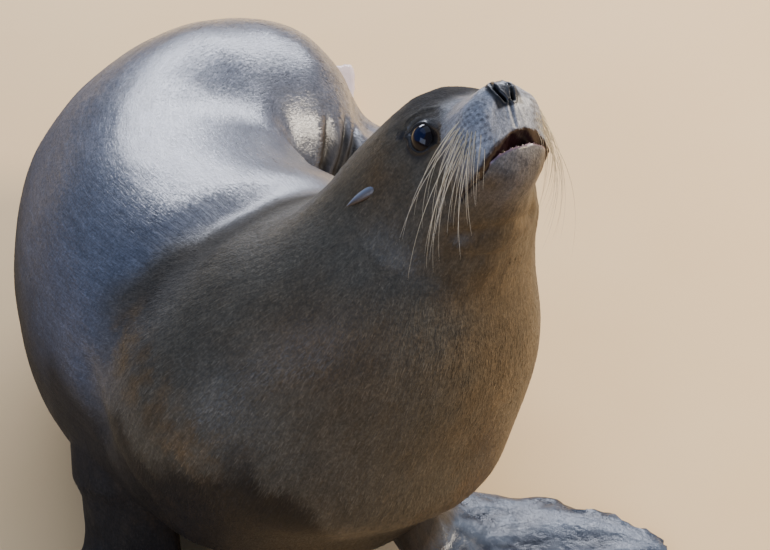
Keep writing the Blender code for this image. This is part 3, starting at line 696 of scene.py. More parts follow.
def makeWhiskerPoints():
    chance = np.random.default_rng(whisker["seed"])
    roots = {key: [] for key in ("place", "way", "sweep", "sideA", "sideB", "tint")}
    a, b, c, d = (np.array(corner) for corner in whisker["corners"])
    rear, middle, front = (np.array(sweep) for sweep in whisker["sweeps"])
    for turn in (1, -1):
        for row in range(whisker["rows"]):
            for column in range(whisker["columns"]):
                u = (column + 0.5 * (row % 2)) / (whisker["columns"] - 0.5)
                v = row / (whisker["rows"] - 1)
                corner = (1 - u) * ((1 - v) * a + v * b) + u * ((1 - v) * c + v * d)
                outward = headDirection(0.15 + 0.5 * u, (0.95 - 0.35 * u) * turn, 0.0)
                start = inHead(corner[0], corner[1] * turn, corner[2]) + 0.03 * outward
                hit, normal, _, _ = skinTree.ray_cast(Vector(start), Vector(-outward), 0.08)
                if hit is None:
                    continue
                if u < 0.5:
                    away = (1 - 2 * u) * rear + 2 * u * middle
                else:
                    away = (2 - 2 * u) * middle + (2 * u - 1) * front
                away = away * (0.62 + 0.5 * chance.random()) * (1 - 0.25 * abs(v - 0.45))
                size = np.linalg.norm(away)
                away = away + np.array((0, 0, 1)) * size * (0.02 - 0.10 * v) + 0.07 * size * chance.normal(size=3)
                reach = -away[0] * headWay + away[1] * turn * headLeft + away[2] * headUp
                length = np.linalg.norm(reach)
                way = 0.95 * length * unit(0.34 * np.array(normal) + 0.66 * unit(reach) - 0.10 * headUp)
                sideA = unit(np.cross(way, (0.2, 0.3, 0.9)))
                sideB = unit(np.cross(way, sideA))
                girth = whisker["girth"] * (0.45 + 0.55 * min(1, length / 0.12))
                roots["place"].append(np.array(hit) - whisker["sunk"] * np.array(normal))
                roots["way"].append(way)
                roots["sweep"].append(reach - way)
                roots["sideA"].append(sideA * girth)
                roots["sideB"].append(sideB * girth)
                roots["tint"].append(chance.random())
    return roots


pits = makeWhiskerPoints()

# What each spot of the skin is: how its fur lies, how it is marked and where it is bare. The coat carries it too.
marks = {
    "bareFrom": {  # how far along a flipper its fur ends
        "foreflipper_left": 0.21, "foreflipper_right": 0.27, "hindflipper_left": 0.10, "hindflipper_right": 0.17,
    },
    "darkUnder": (  # the height under which the chest is dark, from its right to its left
        (-0.40, 0.310), (-0.267, 0.352), (-0.151, 0.378), (-0.088, 0.325), (-0.050, 0.225), (0.20, 0.10),
    ),
    "ochre": ((-0.298, -0.569, 0.412), (-0.262, -0.640, 0.400), (-0.219, -0.705, 0.368)),
    "litAndShadedLidArcs": ((1, 0.0072, 0.0016), (1, 0.0128, 0.0015), (-1, 0.0100, 0.0011)),  # painted highlight (1) or shade (-1), place, width
}
mesh = skinObject.data
normals = meshNormals(mesh)
places = headPlaces(points)
headReach = np.linalg.norm(places, axis=1)
side, folded = bothAsLeft(places)
inBody = points - bodyStart
broad, fineNoise = wander(points, 0.070, 11, 3), wander(points, 0.018, 12, 3)

# chest and neck against the back, parted over the shoulder
neckShare = ease(follow["trunk"]["near"] - follow["neck"]["near"], -0.22, 0.22)
pastLine = inBody[:, 1] - np.interp(inBody[:, 0], shoulder[:, 0], shoulder[:, 1])
atLine = hump(toPath(inBody, shoulder), 0.070) * ease(inBody[:, 2], 0.36, 0.42)
neckShare = neckShare + 0.9 * atLine * (ease(pastLine + 0.012 * broad, 0.036, -0.024) - neckShare)
bare, weightSum, lie = np.zeros(len(points)), np.zeros(len(points)), np.zeros((len(points), 3))
for name, row in follow.items():
    weight = np.exp(-7 * row["near"] ** 2)
    if name in flippers:
        along, there = row["lane"][:, 2], closeTo(row, 1.45)
        weight = 6 * weight * there * ease(along, 0.04, 0.14)
        start = marks["bareFrom"][name]
        bare = np.maximum(bare, there * ease(along + 0.02 * fineNoise, start - 0.02, start + 0.03))
    lie += weight[:, None] * row["way"]
    weightSum += weight
lie = lie / weightSum[:, None]
lie = unit(lie - np.sum(lie * normals, axis=1, keepdims=True) * normals)

# mouth, lips and nose; inside the mouth and under the upper lip the colour is painted shade
behind, left, up = folded.T
nearSnout = ease(headReach, 0.20, 0.15)
wasUp = headPlaces(points - shift[:, None] * headUp)[:, 2]
lipGap = np.minimum(np.abs(wasUp - upperLip), np.abs(wasUp - lowerLip))
alongLips = nearSnout * ease(behind, 0.10, 0.085)
mouth = ease(wasUp, upperLip + 0.0012, upperLip - 0.0010) * ease(wasUp, lowerLip - 0.0020, lowerLip + 0.0005)
mouth *= nearSnout * ease(behind, 0.100, 0.092) * ease(left, 0.062, 0.056)
# painted shade on the underside of the overhanging upper lip
facesDown = ease(-(normals @ headUp), 0.35, 0.75) * ease(wasUp, upperLip + 0.016, upperLip + 0.008)
facesDown = facesDown * ease(wasUp, upperLip - 0.004, upperLip - 0.001)
mouth = np.maximum(mouth, facesDown * nearSnout * ease(behind, 0.002, 0.008) * ease(behind, 0.060, 0.050))
lipRim = ease(lipGap, 0.0046, 0.0018) * alongLips
overLower = ease(wasUp, (upperLip + lowerLip) / 2 + 0.002, lowerLip + 0.002)
lowerRim = lipRim * overLower * ease(behind, 0.060, 0.030)
lipRim = np.maximum(lipRim, ease(lipLine, 0.0026, 0.0012) * nearSnout)
# painted shade: the nostril slits and the groove under the nose are near black
nostril = ease(slit, 0.0026, 0.0014) * nearSnout
nosePad = ease(behind + 0.002 * fineNoise, 0.0190, 0.0140) * ease(wasUp, -0.0235, -0.0195)
nosePad = nosePad * ease(left, 0.0190, 0.0150) * nearSnout
nosePad = np.maximum(nosePad, ease(slit, 0.0050, 0.0030) * nearSnout)
nostril = np.maximum(nostril, 0.85 * ease(toPath(places, face["philtrum"]), 0.0030, 0.0012) * nearSnout)

# lids, with painted highlight on the lid fold ridges and painted shade in the fold between
lidEdge, lidFoldLightAndShade = np.full(len(points), 1.0), np.zeros(len(points))
for name in eyeMiddles:
    edge, above, radius, direction, facing = lidPlace(points, name)
    lidEdge = np.where((facing > 0.0) & (radius < eyeRadius + 0.02), np.minimum(lidEdge, edge), lidEdge)
    arcs = sum(sign * hump(edge - place, width) for sign, place, width in marks["litAndShadedLidArcs"])
    arcs = arcs * ease(above, 0.001, 0.007) * (facing > 0.05) * (radius < eyeRadius + 0.008)
    lidFoldLightAndShade = np.where(np.abs(arcs) > np.abs(lidFoldLightAndShade), arcs, lidFoldLightAndShade)
lidDark = ease(lidEdge, 0.0046, 0.0024)

# tan patches: throat, chest, cheek, behind the ear, the flank and the chin; on the chest's right side also painted
# warm light
front = neckShare * ease(normals[:, 1], 0.25, -0.35)
tan = 0.85 * blob(inBody, (-0.071, -0.690, 0.520), (0.085, 0.060, 0.060))
# painted warm light: the chest front turns tan towards its right side
tan = np.maximum(tan, 0.6 * front * ease(inBody[:, 0] + 0.05 * broad, 0.030, 0.120))
tan = np.maximum(tan, 0.8 * blob(folded, (0.125, 0.03, -0.110), (0.060, 0.060, 0.030)))
tan = np.maximum(tan, 0.8 * blob(folded, (0.175, 0.090, -0.010), (0.035, 0.030, 0.040)))
ochre = ease(toPath(inBody, marks["ochre"]) + 0.02 * broad, 0.060, 0.020) * ease(fineNoise, -0.25, 0.35)
tan = np.maximum(tan, 0.7 * ochre)
chinTan = blob(folded, (0.050, 0.032, -0.082), (0.026, 0.018, 0.015))
tan = np.maximum(tan, 0.9 * chinTan)
tan = np.clip(tan + 0.18 * fineNoise * front, 0, 1)

# darker colour, mostly painted shade: on the crown, the near side of the shoulder, in and around the folds,
# on the low flank and the arm, and in the lid fold; the chest front is darker below a line
under = readTable(marks["darkUnder"], inBody[:, 0])
chestDark = front * ease(inBody[:, 2] + 0.035 * broad, under + 0.012, under - 0.022)
crown = np.clip(1.4 * blob(folded, (0.128, 0.0, 0.047), (0.070, 0.058, 0.042)), 0, 1)
overShoulder = hump(toPath(inBody, shoulder + (0.008, -0.022, 0.0)), 0.045) * ease(pastLine, 0.026, -0.010)
flankLow = ease(inBody[:, 2], 0.34, 0.23) * ease(inBody[:, 0], -0.20, -0.32)
armLow = closeTo(follow["foreflipper_right"]) * ease(inBody[:, 2], 0.34, 0.28)
dark = np.maximum.reduce([
    chestDark * ease(inBody[:, 1], -0.40, -0.50), crown, 0.55 * overShoulder,
    np.clip(0.95 * foldDark + 0.85 * foldZone, 0, 1), 0.9 * flankLow, 0.9 * armLow,
])
dark = np.clip(dark + 0.7 * np.maximum(-lidFoldLightAndShade, 0), 0, 1)

# where the fur is dry or out of the sky's light and shines little
flankUp = ease(inBody[:, 2], 0.50, 0.30) * ease(inBody[:, 0], -0.26, -0.40)
shade = np.maximum.reduce([
    flankLow, flankUp, armLow * (1 - bare), crown, 0.95 * overShoulder, np.clip(1.3 * foldZone, 0, 1),
])
# paler muzzle, painted lighter and bluer towards its top as a sky highlight and less on the chin; the lid arcs add
# their painted highlight
pale = nearSnout * ease(behind, 0.100, 0.040) * (1 - 0.8 * chinTan) * (0.32 + 0.48 * ease(up, -0.075, -0.045))
pale = pale * (1 - 0.40 * ease(wasUp, lowerLip + 0.002, lowerLip - 0.004))
pale = np.clip(pale + 0.75 * lidFoldLightAndShade, 0, 1)
bare = np.clip(bare, 0, 1)
pit = np.zeros(len(points))
padded = np.nonzero(headReach < 0.10)[0]
for place in pits["place"]:
    distance = np.linalg.norm(points[padded] - place, axis=1)
    pit[padded] = np.maximum(pit[padded], hump(distance - 0.002, 0.0010))
raised = follow["hindflipper_right"]
rosy = bare * closeTo(raised) * ease(raised["lane"][:, 2], 0.26, 0.36)
coatMarks = {"neckShare": neckShare, "pit": pit, "dark": dark, "tan": tan, "pale": pale, "shade": shade}
bareMarks = {
    "bare": bare, "mouth": mouth, "lipRim": lipRim * (1 - mouth), "nosePad": nosePad, "nostril": nostril,
    "lowerRim": lowerRim, "lidDark": lidDark, "rosy": rosy, "hideTone": hideTone,
}
for name, values in (*coatMarks.items(), *bareMarks.items()):
    setAttribute(mesh, name, values)

# The skin's own unwrap, a band for each line: around it and along it.
bands = {
    "neck": (0.01, 0.40), "trunk": (0.42, 0.84), "foreflipper_left": (0.86, 0.91),
    "foreflipper_right": (0.92, 0.97), "hindflipper_left": (0.975, 0.985), "hindflipper_right": (0.987, 0.995),
}
nearest = np.argmin(np.stack([follow[name]["near"] * (0.8 if name in flippers else 1) for name in bands]), axis=0)
unwrap = np.zeros((len(points), 3))
for index, (name, (low, high)) in enumerate(bands.items()):
    lane = follow[name]["lane"]
    around = np.arctan2(lane[:, 1], lane[:, 0]) / (2 * math.pi) + 0.5
    there = nearest == index
    unwrap[there, 0] = 0.01 + 0.98 * around[there]
    unwrap[there, 1] = low + (high - low) * np.clip(lane[there, 2] / lines[name]["along"][-1], 0, 1)

# Tufts: how long they are, smallest on the face and the flippers, and where there are any.
tuftSize = {"body": 0.0086, "head": 0.0034, "snout": 0.0024, "least": 0.0024, "onFlipper": 0.5}
toHead = ease(behind, 0.26, 0.15) * ease(np.linalg.norm(places[:, 1:], axis=1), 0.22, 0.16)
tuftLength = tuftSize["body"] - tuftSize["head"] * toHead
tuftLength = tuftLength - tuftSize["snout"] * nearSnout * ease(behind, 0.130, 0.060)
for name in flippers:
    end = marks["bareFrom"][name]
    away = closeTo(follow[name]) * ease(follow[name]["lane"][:, 2], end - 0.16, end)
    tuftLength = tuftLength * (1 - tuftSize["onFlipper"] * away)
tuftLength = np.maximum(tuftLength * (0.80 + 0.20 * neckShare), tuftSize["least"])
covered = 1 - ease(lipGap, 0.0072, 0.0044) * alongLips
for value, low, high in (
    (bare, 0.25, 0.7), (np.maximum(mouth, lipRim), 0.1, 0.5), (nosePad, 0.1, 0.5), (foldZone, 0.05, 0.6),
    (nostril, 0.1, 0.5),
):
    covered = covered * (1 - ease(value, low, high))
covered = covered * ease(lidEdge, 0.0044, 0.0066) * ease(points[:, 2], 0.004, 0.012)
setAttribute(mesh, "tuftLength", tuftLength)
setAttribute(mesh, "tuftDensity", covered / tuftLength**2)
for name, values in (
    ("laneNeck", follow["neck"]["lane"]), ("laneTrunk", follow["trunk"]["lane"]), ("lie", lie), ("unwrap", unwrap),
):
    setAttribute(mesh, name, values, "FLOAT_VECTOR")
print("stage: marks")


def shader(name):  # a new material, its tree and its one surface
    material = bpy.data.materials.new(name)
    material.use_nodes = True
    tree = material.node_tree
    tree.nodes.clear()
    surface = addNode(tree, "ShaderNodeBsdfPrincipled", output=None)
    addNode(tree, "ShaderNodeOutputMaterial", {"Surface": surface.outputs[0]})
    return material, tree, surface


# Wet short fur: sizes of its patterns in millimetres, and its colours. Single hairs are too fine to show,
# so its streaks are as wide as wet clumps. The back's blue grey is partly a painted sky sheen on wet fur;
# dark, tan and pale also carry painted shade, painted warm light and a painted highlight.
fur = {
    "clumpAcross": 2.2, "clumpAlong": 14, "patch": 111.11, "speck": 3.846,
    "back": "#4a4d57", "chest": "#4a4439", "dark": "#1a1715", "tan": "#53422c", "pale": "#91949b",
    "pit": "#2e2622", "pitShare": 0.55,
}
# The bare skin it runs into. Its light and dark are lit and shaded copies of the hide;
# the mouth and nostril colours are painted shade.
hide = {
    "wrinkle": 2.381, "lump": 18.18, "padCell": 1.111,
    "light": "#4a5361", "dark": "#181d28", "rosy": "#d8c2bc", "leather": "#17181e", "leatherDark": "#0a0a0d",
    "mouth": "#2c1417", "mouthDark": "#140809", "lipRim": "#241b1e", "lowerRim": "#8a6f78", "lidDark": "#1d1917",
    "nostril": "#050506",
}


def furColour(tree, mark):  # clumped hair in streaks along the body and patches, with fine specks painted lighter as glints
    place = addNode(tree, "ShaderNodeTexCoord", output="Object")
    across, long = 1000 / fur["clumpAcross"], fur["clumpAcross"] / fur["clumpAlong"]
    drawn = {"streak": [], "clump": []}
    for name in ("laneTrunk", "laneNeck"):
        lane = addNode(tree, "ShaderNodeAttribute", output="Vector", attribute_name=name)
        for kind, wider, longer, detail, roughness in (("streak", 1, 1, 3.0, 0.6), ("clump", 4.5, 1.3, 2.0, 0.5)):
            stretched = addNode(tree, "ShaderNodeMapping", {"Vector": lane, "Scale": (1, 1, longer * long)})
            inputs = {"Vector": stretched, "Scale": across / wider, "Detail": detail, "Roughness": roughness}
            drawn[kind].append(addNode(tree, "ShaderNodeTexNoise", inputs))
    for kind, (onTrunk, onNeck) in drawn.items():
        drawn[kind] = addNode(tree, "ShaderNodeMix", {0: mark["neckShare"], 2: onTrunk, 3: onNeck})
    for kind, detail, roughness in (("patch", 4.0, 0.6), ("speck", 2.0, 0.7)):
        inputs = {"Vector": place, "Scale": 1000 / fur[kind], "Detail": detail, "Roughness": roughness}
        drawn[kind] = addNode(tree, "ShaderNodeTexNoise", inputs)
    base, pitted = linear(fur["back"]), (mark["pit"], fur["pitShare"])
    mark = {**mark, "chest": mark["neckShare"], "pit": addNode(tree, "ShaderNodeMath", pitted, operation="MULTIPLY")}
    for name in ("chest", "dark", "tan", "pale", "pit"):
        base = addNode(tree, "ShaderNodeMix", {0: mark[name], 6: base, 7: linear(fur[name])}, 2, data_type="RGBA")
    light = 1.0
    # fine specks lighten up to 1.4 times: painted glints on wet hair
    for kind, low, high, darkest, lightest in (
        ("streak", 0.30, 0.72, 0.74, 1.36), ("clump", 0.3, 0.7, 0.88, 1.14), ("patch", 0.3, 0.7, 0.82, 1.18),
        ("speck", 0.40, 0.72, 0.85, 1.40),
    ):
        more = addNode(tree, "ShaderNodeMapRange", (drawn[kind], low, high, darkest, lightest))
        light = addNode(tree, "ShaderNodeMath", (light, more), operation="MULTIPLY")
    base = addNode(tree, "ShaderNodeVectorMath", {0: base, "Scale": light}, operation="SCALE")
    return place, base, drawn


def makeSkinMaterial():
    # Dark skin under wet fur gives a soft streaked shine; bare hide is lumpy, leathery and blue grey, painted lighter
    # on its ridges and darker in its hollows; nose, lips, lids and mouth are darker and wetter, with painted shade in
    # the mouth and nostrils.
    material, tree, surface = shader("wet_short_fur_and_hide")
    mark = {
        name: addNode(tree, "ShaderNodeAttribute", output="Fac", attribute_name=name)
        for name in (*coatMarks, *bareMarks)
    }
    place, base, drawn = furColour(tree, mark)
    streak, clump = drawn["streak"], drawn["clump"]
    grains = {}
    for name, size, roughness in (("grain", "wrinkle", 0.6), ("lumps", "lump", 0.5)):
        inputs = {"Vector": place, "Scale": 1000 / hide[size], "Detail": 3.0, "Roughness": roughness}
        grains[name] = addNode(tree, "ShaderNodeTexNoise", inputs)
    for name in ("wrinkle", "padCell"):
        inputs = {"Vector": place, "Scale": 1000 / hide[name]}
        grains[name] = addNode(tree, "ShaderNodeTexVoronoi", inputs, feature="DISTANCE_TO_EDGE")
    lumps = grains["lumps"]
    # painted light and shade on the bare hide from its heights, mixed with some lumpy noise
    tone = addNode(tree, "ShaderNodeMix", {0: 0.7, 2: lumps, 3: mark["hideTone"]})
    tone = addNode(tree, "ShaderNodeMapRange", (tone, 0.2, 0.85))
    colours = {name: linear(hide[name]) for name in ("lipRim", "lowerRim", "lidDark", "nostril")}
    for name, share, first, second in (
        ("bare", tone, "dark", "light"), ("nosePad", grains["grain"], "leatherDark", "leather"),
        ("mouth", lumps, "mouthDark", "mouth"),
    ):
        inputs = {0: share, 6: linear(hide[first]), 7: linear(hide[second])}
        colours[name] = addNode(tree, "ShaderNodeMix", inputs, 2, data_type="RGBA")
    inputs = {0: mark["rosy"], 6: colours["bare"], 7: linear(hide["rosy"])}
    colours["bare"] = addNode(tree, "ShaderNodeMix", inputs, 2, data_type="RGBA")
    for name in ("bare", "nosePad", "lipRim", "lowerRim", "mouth", "lidDark", "nostril"):
        base = addNode(tree, "ShaderNodeMix", {0: mark[name], 6: base, 7: colours[name]}, 2, data_type="RGBA")
    wet = mark["lowerRim"]
    for name, share in (("nosePad", 0.25), ("mouth", 0.35), ("lidDark", 0.5)):
        part = addNode(tree, "ShaderNodeMath", (mark[name], share), operation="MULTIPLY")
        wet = addNode(tree, "ShaderNodeMath", (wet, part), operation="MAXIMUM")

    rough = addNode(tree, "ShaderNodeMapRange", (streak, 0.3, 0.7, 0.24, 0.46))
    rough = addNode(tree, "ShaderNodeMath", (mark["neckShare"], 0.22, rough), operation="MULTIPLY_ADD")
    hideRough = addNode(tree, "ShaderNodeMapRange", (lumps, 0.3, 0.7, 0.16, 0.36))
    rough = addNode(tree, "ShaderNodeMix", {0: mark["bare"], 2: rough, 3: hideRough})
    rough = addNode(tree, "ShaderNodeMix", {0: wet, 2: rough, 3: 0.17})
    rough = addNode(tree, "ShaderNodeMath", (mark["shade"], 0.3, rough), operation="MULTIPLY_ADD", use_clamp=True)

    height = addNode(tree, "ShaderNodeMath", (streak, 0.6), operation="MULTIPLY")
    height = addNode(tree, "ShaderNodeMath", (clump, 1.2, height), operation="MULTIPLY_ADD")
    furDepth = addNode(tree, "ShaderNodeMix", {0: mark["neckShare"], 2: 0.5, 3: 0.85})
    height = addNode(tree, "ShaderNodeMath", (height, furDepth), operation="MULTIPLY")
    hideHeight = addNode(tree, "ShaderNodeMath", (grains["wrinkle"], 0.2), operation="MULTIPLY")
    hideHeight = addNode(tree, "ShaderNodeMath", (lumps, 1.1, hideHeight), operation="MULTIPLY_ADD")
    padHeight = addNode(tree, "ShaderNodeMath", (grains["padCell"], 0.3), operation="MULTIPLY")
    height = addNode(tree, "ShaderNodeMix", {0: mark["bare"], 2: height, 3: hideHeight})
    height = addNode(tree, "ShaderNodeMix", {0: wet, 2: height, 3: padHeight})
    normal = addNode(tree, "ShaderNodeBump", {"Height": height, "Distance": 0.0018, "Strength": 0.9})
    glints = addNode(tree, "ShaderNodeMath", (streak, 0.25), operation="MULTIPLY")
    glints = addNode(tree, "ShaderNodeMath", (drawn["speck"], 0.35, glints), operation="MULTIPLY_ADD")
    glints = addNode(tree, "ShaderNodeMix", {0: wet, 2: glints, 3: 0.0})
    glints = addNode(tree, "ShaderNodeMix", {0: mark["bare"], 2: glints, 3: hideHeight})
    coatNormal = addNode(tree, "ShaderNodeBump", {"Height": glints, "Distance": 0.0016, "Strength": 0.8})

    coat = addNode(tree, "ShaderNodeMix", {0: mark["neckShare"], 2: 0.75, 3: 0.10})
    litShare = addNode(tree, "ShaderNodeMath", (1.0, mark["shade"]), operation="SUBTRACT", use_clamp=True)
    mottle = addNode(tree, "ShaderNodeMapRange", (clump, 0.3, 0.7, 0.72, 1.10))
    for share in (litShare, mottle):
        coat = addNode(tree, "ShaderNodeMath", (coat, share), operation="MULTIPLY")
    coat = addNode(tree, "ShaderNodeMath", (mark["pale"], 0.35, coat), operation="MULTIPLY_ADD")
    coat = addNode(tree, "ShaderNodeMix", {0: mark["bare"], 2: coat, 3: 0.24})
    coat = addNode(tree, "ShaderNodeMix", {0: wet, 2: coat, 3: 0.9})
    setInputs(tree, surface, {
        "Base Color": base, "Roughness": rough, "Normal": normal, "Coat Weight": coat, "Coat Normal": coatNormal,
        "Coat Roughness": 0.18, "IOR": 1.45, "Specular IOR Level": 0.22,
    }.items())
    return material


def makeTuftMaterial():  # clumps of wet hair, paler to their tips, partly a painted glint, each its own tone and shine
    material, tree, surface = shader("wet_fur_tufts")
    mark = {
        name: addNode(tree, "ShaderNodeAttribute", output="Fac", attribute_name=name)
        for name in (*coatMarks, "tuftTint")
    }
    place, base, drawn = furColour(tree, mark)
    alongTuft = addNode(tree, "ShaderNodeAttribute", output="Vector", attribute_name="tuftPlace")
    tip = addNode(tree, "ShaderNodeSeparateXYZ", (alongTuft,))
    # each tuft its own tone, and paler to its tip, partly a painted glint
    for value, darkest, lightest in ((mark["tuftTint"], 0.75, 1.35), (tip, 0.85, 1.2)):
        light = addNode(tree, "ShaderNodeMapRange", (value, 0.0, 1.0, darkest, lightest))
        base = addNode(tree, "ShaderNodeVectorMath", {0: base, "Scale": light}, operation="SCALE")
    rough = addNode(tree, "ShaderNodeMapRange", (mark["tuftTint"], 0.0, 1.0, 0.26, 0.44))
    for name, more in (("neckShare", 0.18), ("shade", 0.3)):
        inputs = (mark[name], more, rough)
        rough = addNode(tree, "ShaderNodeMath", inputs, operation="MULTIPLY_ADD", use_clamp=name == "shade")
    coat = addNode(tree, "ShaderNodeMix", {0: mark["neckShare"], 2: 0.70, 3: 0.12})
    litShare = addNode(tree, "ShaderNodeMath", (1.0, mark["shade"]), operation="SUBTRACT", use_clamp=True)
    coat = addNode(tree, "ShaderNodeMath", (coat, litShare), operation="MULTIPLY")
    coat = addNode(tree, "ShaderNodeMath", (mark["pale"], 0.35, coat), operation="MULTIPLY_ADD")
    normal = addNode(tree, "ShaderNodeBump", {"Height": drawn["speck"], "Distance": 0.0004, "Strength": 0.6})
    setInputs(tree, surface, {
        "Base Color": base, "Roughness": rough, "Normal": normal, "Coat Weight": coat, "Coat Normal": normal,
        "Coat Roughness": 0.18, "IOR": 1.5, "Specular IOR Level": 0.25,
    }.items())
    return material


skinObject.data.materials.clear()
skinObject.data.materials.append(makeSkinMaterial())
skinObject.data.polygons.foreach_set("material_index", [0] * len(skinObject.data.polygons))
shadeSmooth(skinObject.data)
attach(skinObject, "root")
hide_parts(*skin["flesh"])
print("stage: skin material")

# Eyes: large dark wet eyeballs with a brown iris, a wide pupil and a low clear bulge over them.
eye = {
    "rings": 40, "turns": 56, "bulge": 0.0011, "under": 0.0004, "looks": (0.58, 0.76, 0.28),
    "irisAngle": 0.72, "pupilAngle": 0.40, "film": 6.25,  # radians, and millimetres
    "iris": "#0d0b10", "irisLight": "#24150f", "pupil": "#0a1230", "white": "#140f10",
}


def makeEyeMaterial():  # a wet clear cornea over a dark iris: one sharp bright reflection and depth under it
    material, tree, surface = shader("wet_eyeball")
    polar = addNode(tree, "ShaderNodeAttribute", output="Fac", attribute_name="fromPupil")
    around = addNode(tree, "ShaderNodeAttribute", output="Vector", attribute_name="aroundPupil")
    around = addNode(tree, "ShaderNodeMapping", {"Vector": around, "Scale": (1, 1, 0.15)})
    fibres = addNode(tree, "ShaderNodeTexNoise", {"Vector": around, "Scale": 9.0, "Detail": 4.0, "Roughness": 0.7})
    inputs = {0: fibres, 6: linear(eye["iris"]), 7: linear(eye["irisLight"])}
    iris = addNode(tree, "ShaderNodeMix", inputs, 2, data_type="RGBA")
    base = linear(eye["pupil"])
    for colour, angle, inner, outer in (
        (iris, "pupilAngle", 0.03, 0.03), (linear(eye["white"]), "irisAngle", 0.05, 0.04),
    ):
        outside = addNode(tree, "ShaderNodeMapRange", (polar, eye[angle] - inner, eye[angle] + outer))
        base = addNode(tree, "ShaderNodeMix", {0: outside, 6: base, 7: colour}, 2, data_type="RGBA")
    place = addNode(tree, "ShaderNodeTexCoord", output="Object")
    inputs = {"Vector": place, "Scale": 1000 / eye["film"], "Detail": 2.0, "Roughness": 0.55}
    film = addNode(tree, "ShaderNodeTexNoise", inputs)
    rough = addNode(tree, "ShaderNodeMapRange", (film, 0.0, 1.0, 0.03, 0.09))
    normal = addNode(tree, "ShaderNodeBump", {"Height": film, "Distance": 0.0001, "Strength": 0.3})
    setInputs(tree, surface, {
        "Base Color": base, "Roughness": rough, "Normal": normal, "Coat Weight": 0.7, "Coat Roughness": 0.03,
        "Coat IOR": 1.33, "IOR": 1.38, "Specular IOR Level": 0.1,
    }.items())
    return material


eyeMaterial = makeEyeMaterial()
for name in eyeMiddles:
    looks = headDirection(eye["looks"][0], eye["looks"][1] * (1 if name == "left" else -1), eye["looks"][2])
    sideways = unit(np.cross(looks, headUp))
    upward = np.cross(sideways, looks)
    rows, polarValues, aroundValues = [], [], []
    for ring in range(eye["rings"] + 1):
        polar = math.pi * ring / eye["rings"]
        swell = eye["bulge"] * math.exp(-((polar / 0.62) ** 2) * 1.2)
        for step in range(eye["turns"]):
            angle = 2 * math.pi * step / eye["turns"]
            outward = math.cos(angle) * sideways + math.sin(angle) * upward
            direction = math.cos(polar) * looks + math.sin(polar) * outward
            rows.append(eyeMiddles[name] + (eyeRadius - eye["under"] + swell) * direction)
            polarValues.append(polar)
            aroundValues.append((math.cos(angle), math.sin(angle), 4 * polar))
    ball = makeMesh("eyeball_" + name, rows, tubeFaces(eye["rings"], eye["turns"]), eyeMaterial)
    setAttribute(ball.data, "fromPupil", polarValues)
    setAttribute(ball.data, "aroundPupil", aroundValues, "FLOAT_VECTOR")
    tidyNormals(ball.data, 1e-7)
    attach(ball, "root")
    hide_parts("eye_" + name)
print("stage: eyes")

# Ears: small rolled leaves, open along their underside.
ear = {
    "root": (0.177, 0.094, -0.018), "way": (-0.80, 0.58, 0.06), "length": 0.050, "sunk": 0.007, "radius": 0.0050,
    "wall": 0.0010, "rings": 28, "turns": 22, "open": 0.42, "droop": 0.004,
    "hair": 2.0, "patch": 11.11,  # millimetres
    "top": "#6b7485", "topLight": "#9aa3b4", "under": "#4a3524", "hairs": "#2c2624",
}


def makeEar(name, turn):
    outward = headDirection(0, turn, 0)
    start = inHead(ear["root"][0], ear["root"][1] * turn, ear["root"][2]) + 0.06 * outward
    root = np.array(skinTree.ray_cast(Vector(start), Vector(-outward), 0.15)[0]) - ear["sunk"] * outward
    way = headDirection(ear["way"][0], ear["way"][1] * turn, ear["way"][2])
    down = unit(-headUp + np.dot(headUp, way) * way)
    sideways = np.cross(way, down)
    rows, underside = [], []
    for ring in range(ear["rings"] + 1):
        t = ring / ear["rings"]
        radius = ear["radius"] * (0.55 + 0.55 * math.sin(math.pi * min(1, 0.12 + 0.62 * t))) * (1 - t**3.2) + 0.0004
        middle = root + way * ear["length"] * t + down * ear["droop"] * t * t
        for inner in (False, True):
            for step in range(ear["turns"]):
                share = step / (ear["turns"] - 1)
                share = 1 - share if inner else share
                angle = ear["open"] + (2 * math.pi - 1.35 * ear["open"]) * share
                rolled = radius * (1 - 0.22 * share) * (0.80 if inner else 1) - (ear["wall"] * 0.5 if inner else 0)
                rolled = max(rolled, 0.0002)
                rows.append(middle + rolled * (math.cos(angle) * down * 1.25 + math.sin(angle) * sideways * 0.85))
                underside.append(1.0 if inner else 0.5 + 0.5 * math.cos(angle))
    loop = 2 * ear["turns"]
    leaf = makeMesh("rolled_ear_" + name, rows, tubeFaces(ear["rings"], loop) + endFaces(ear["rings"], loop))
    setAttribute(leaf.data, "underside", underside)
    tidyNormals(leaf.data)
    return leaf


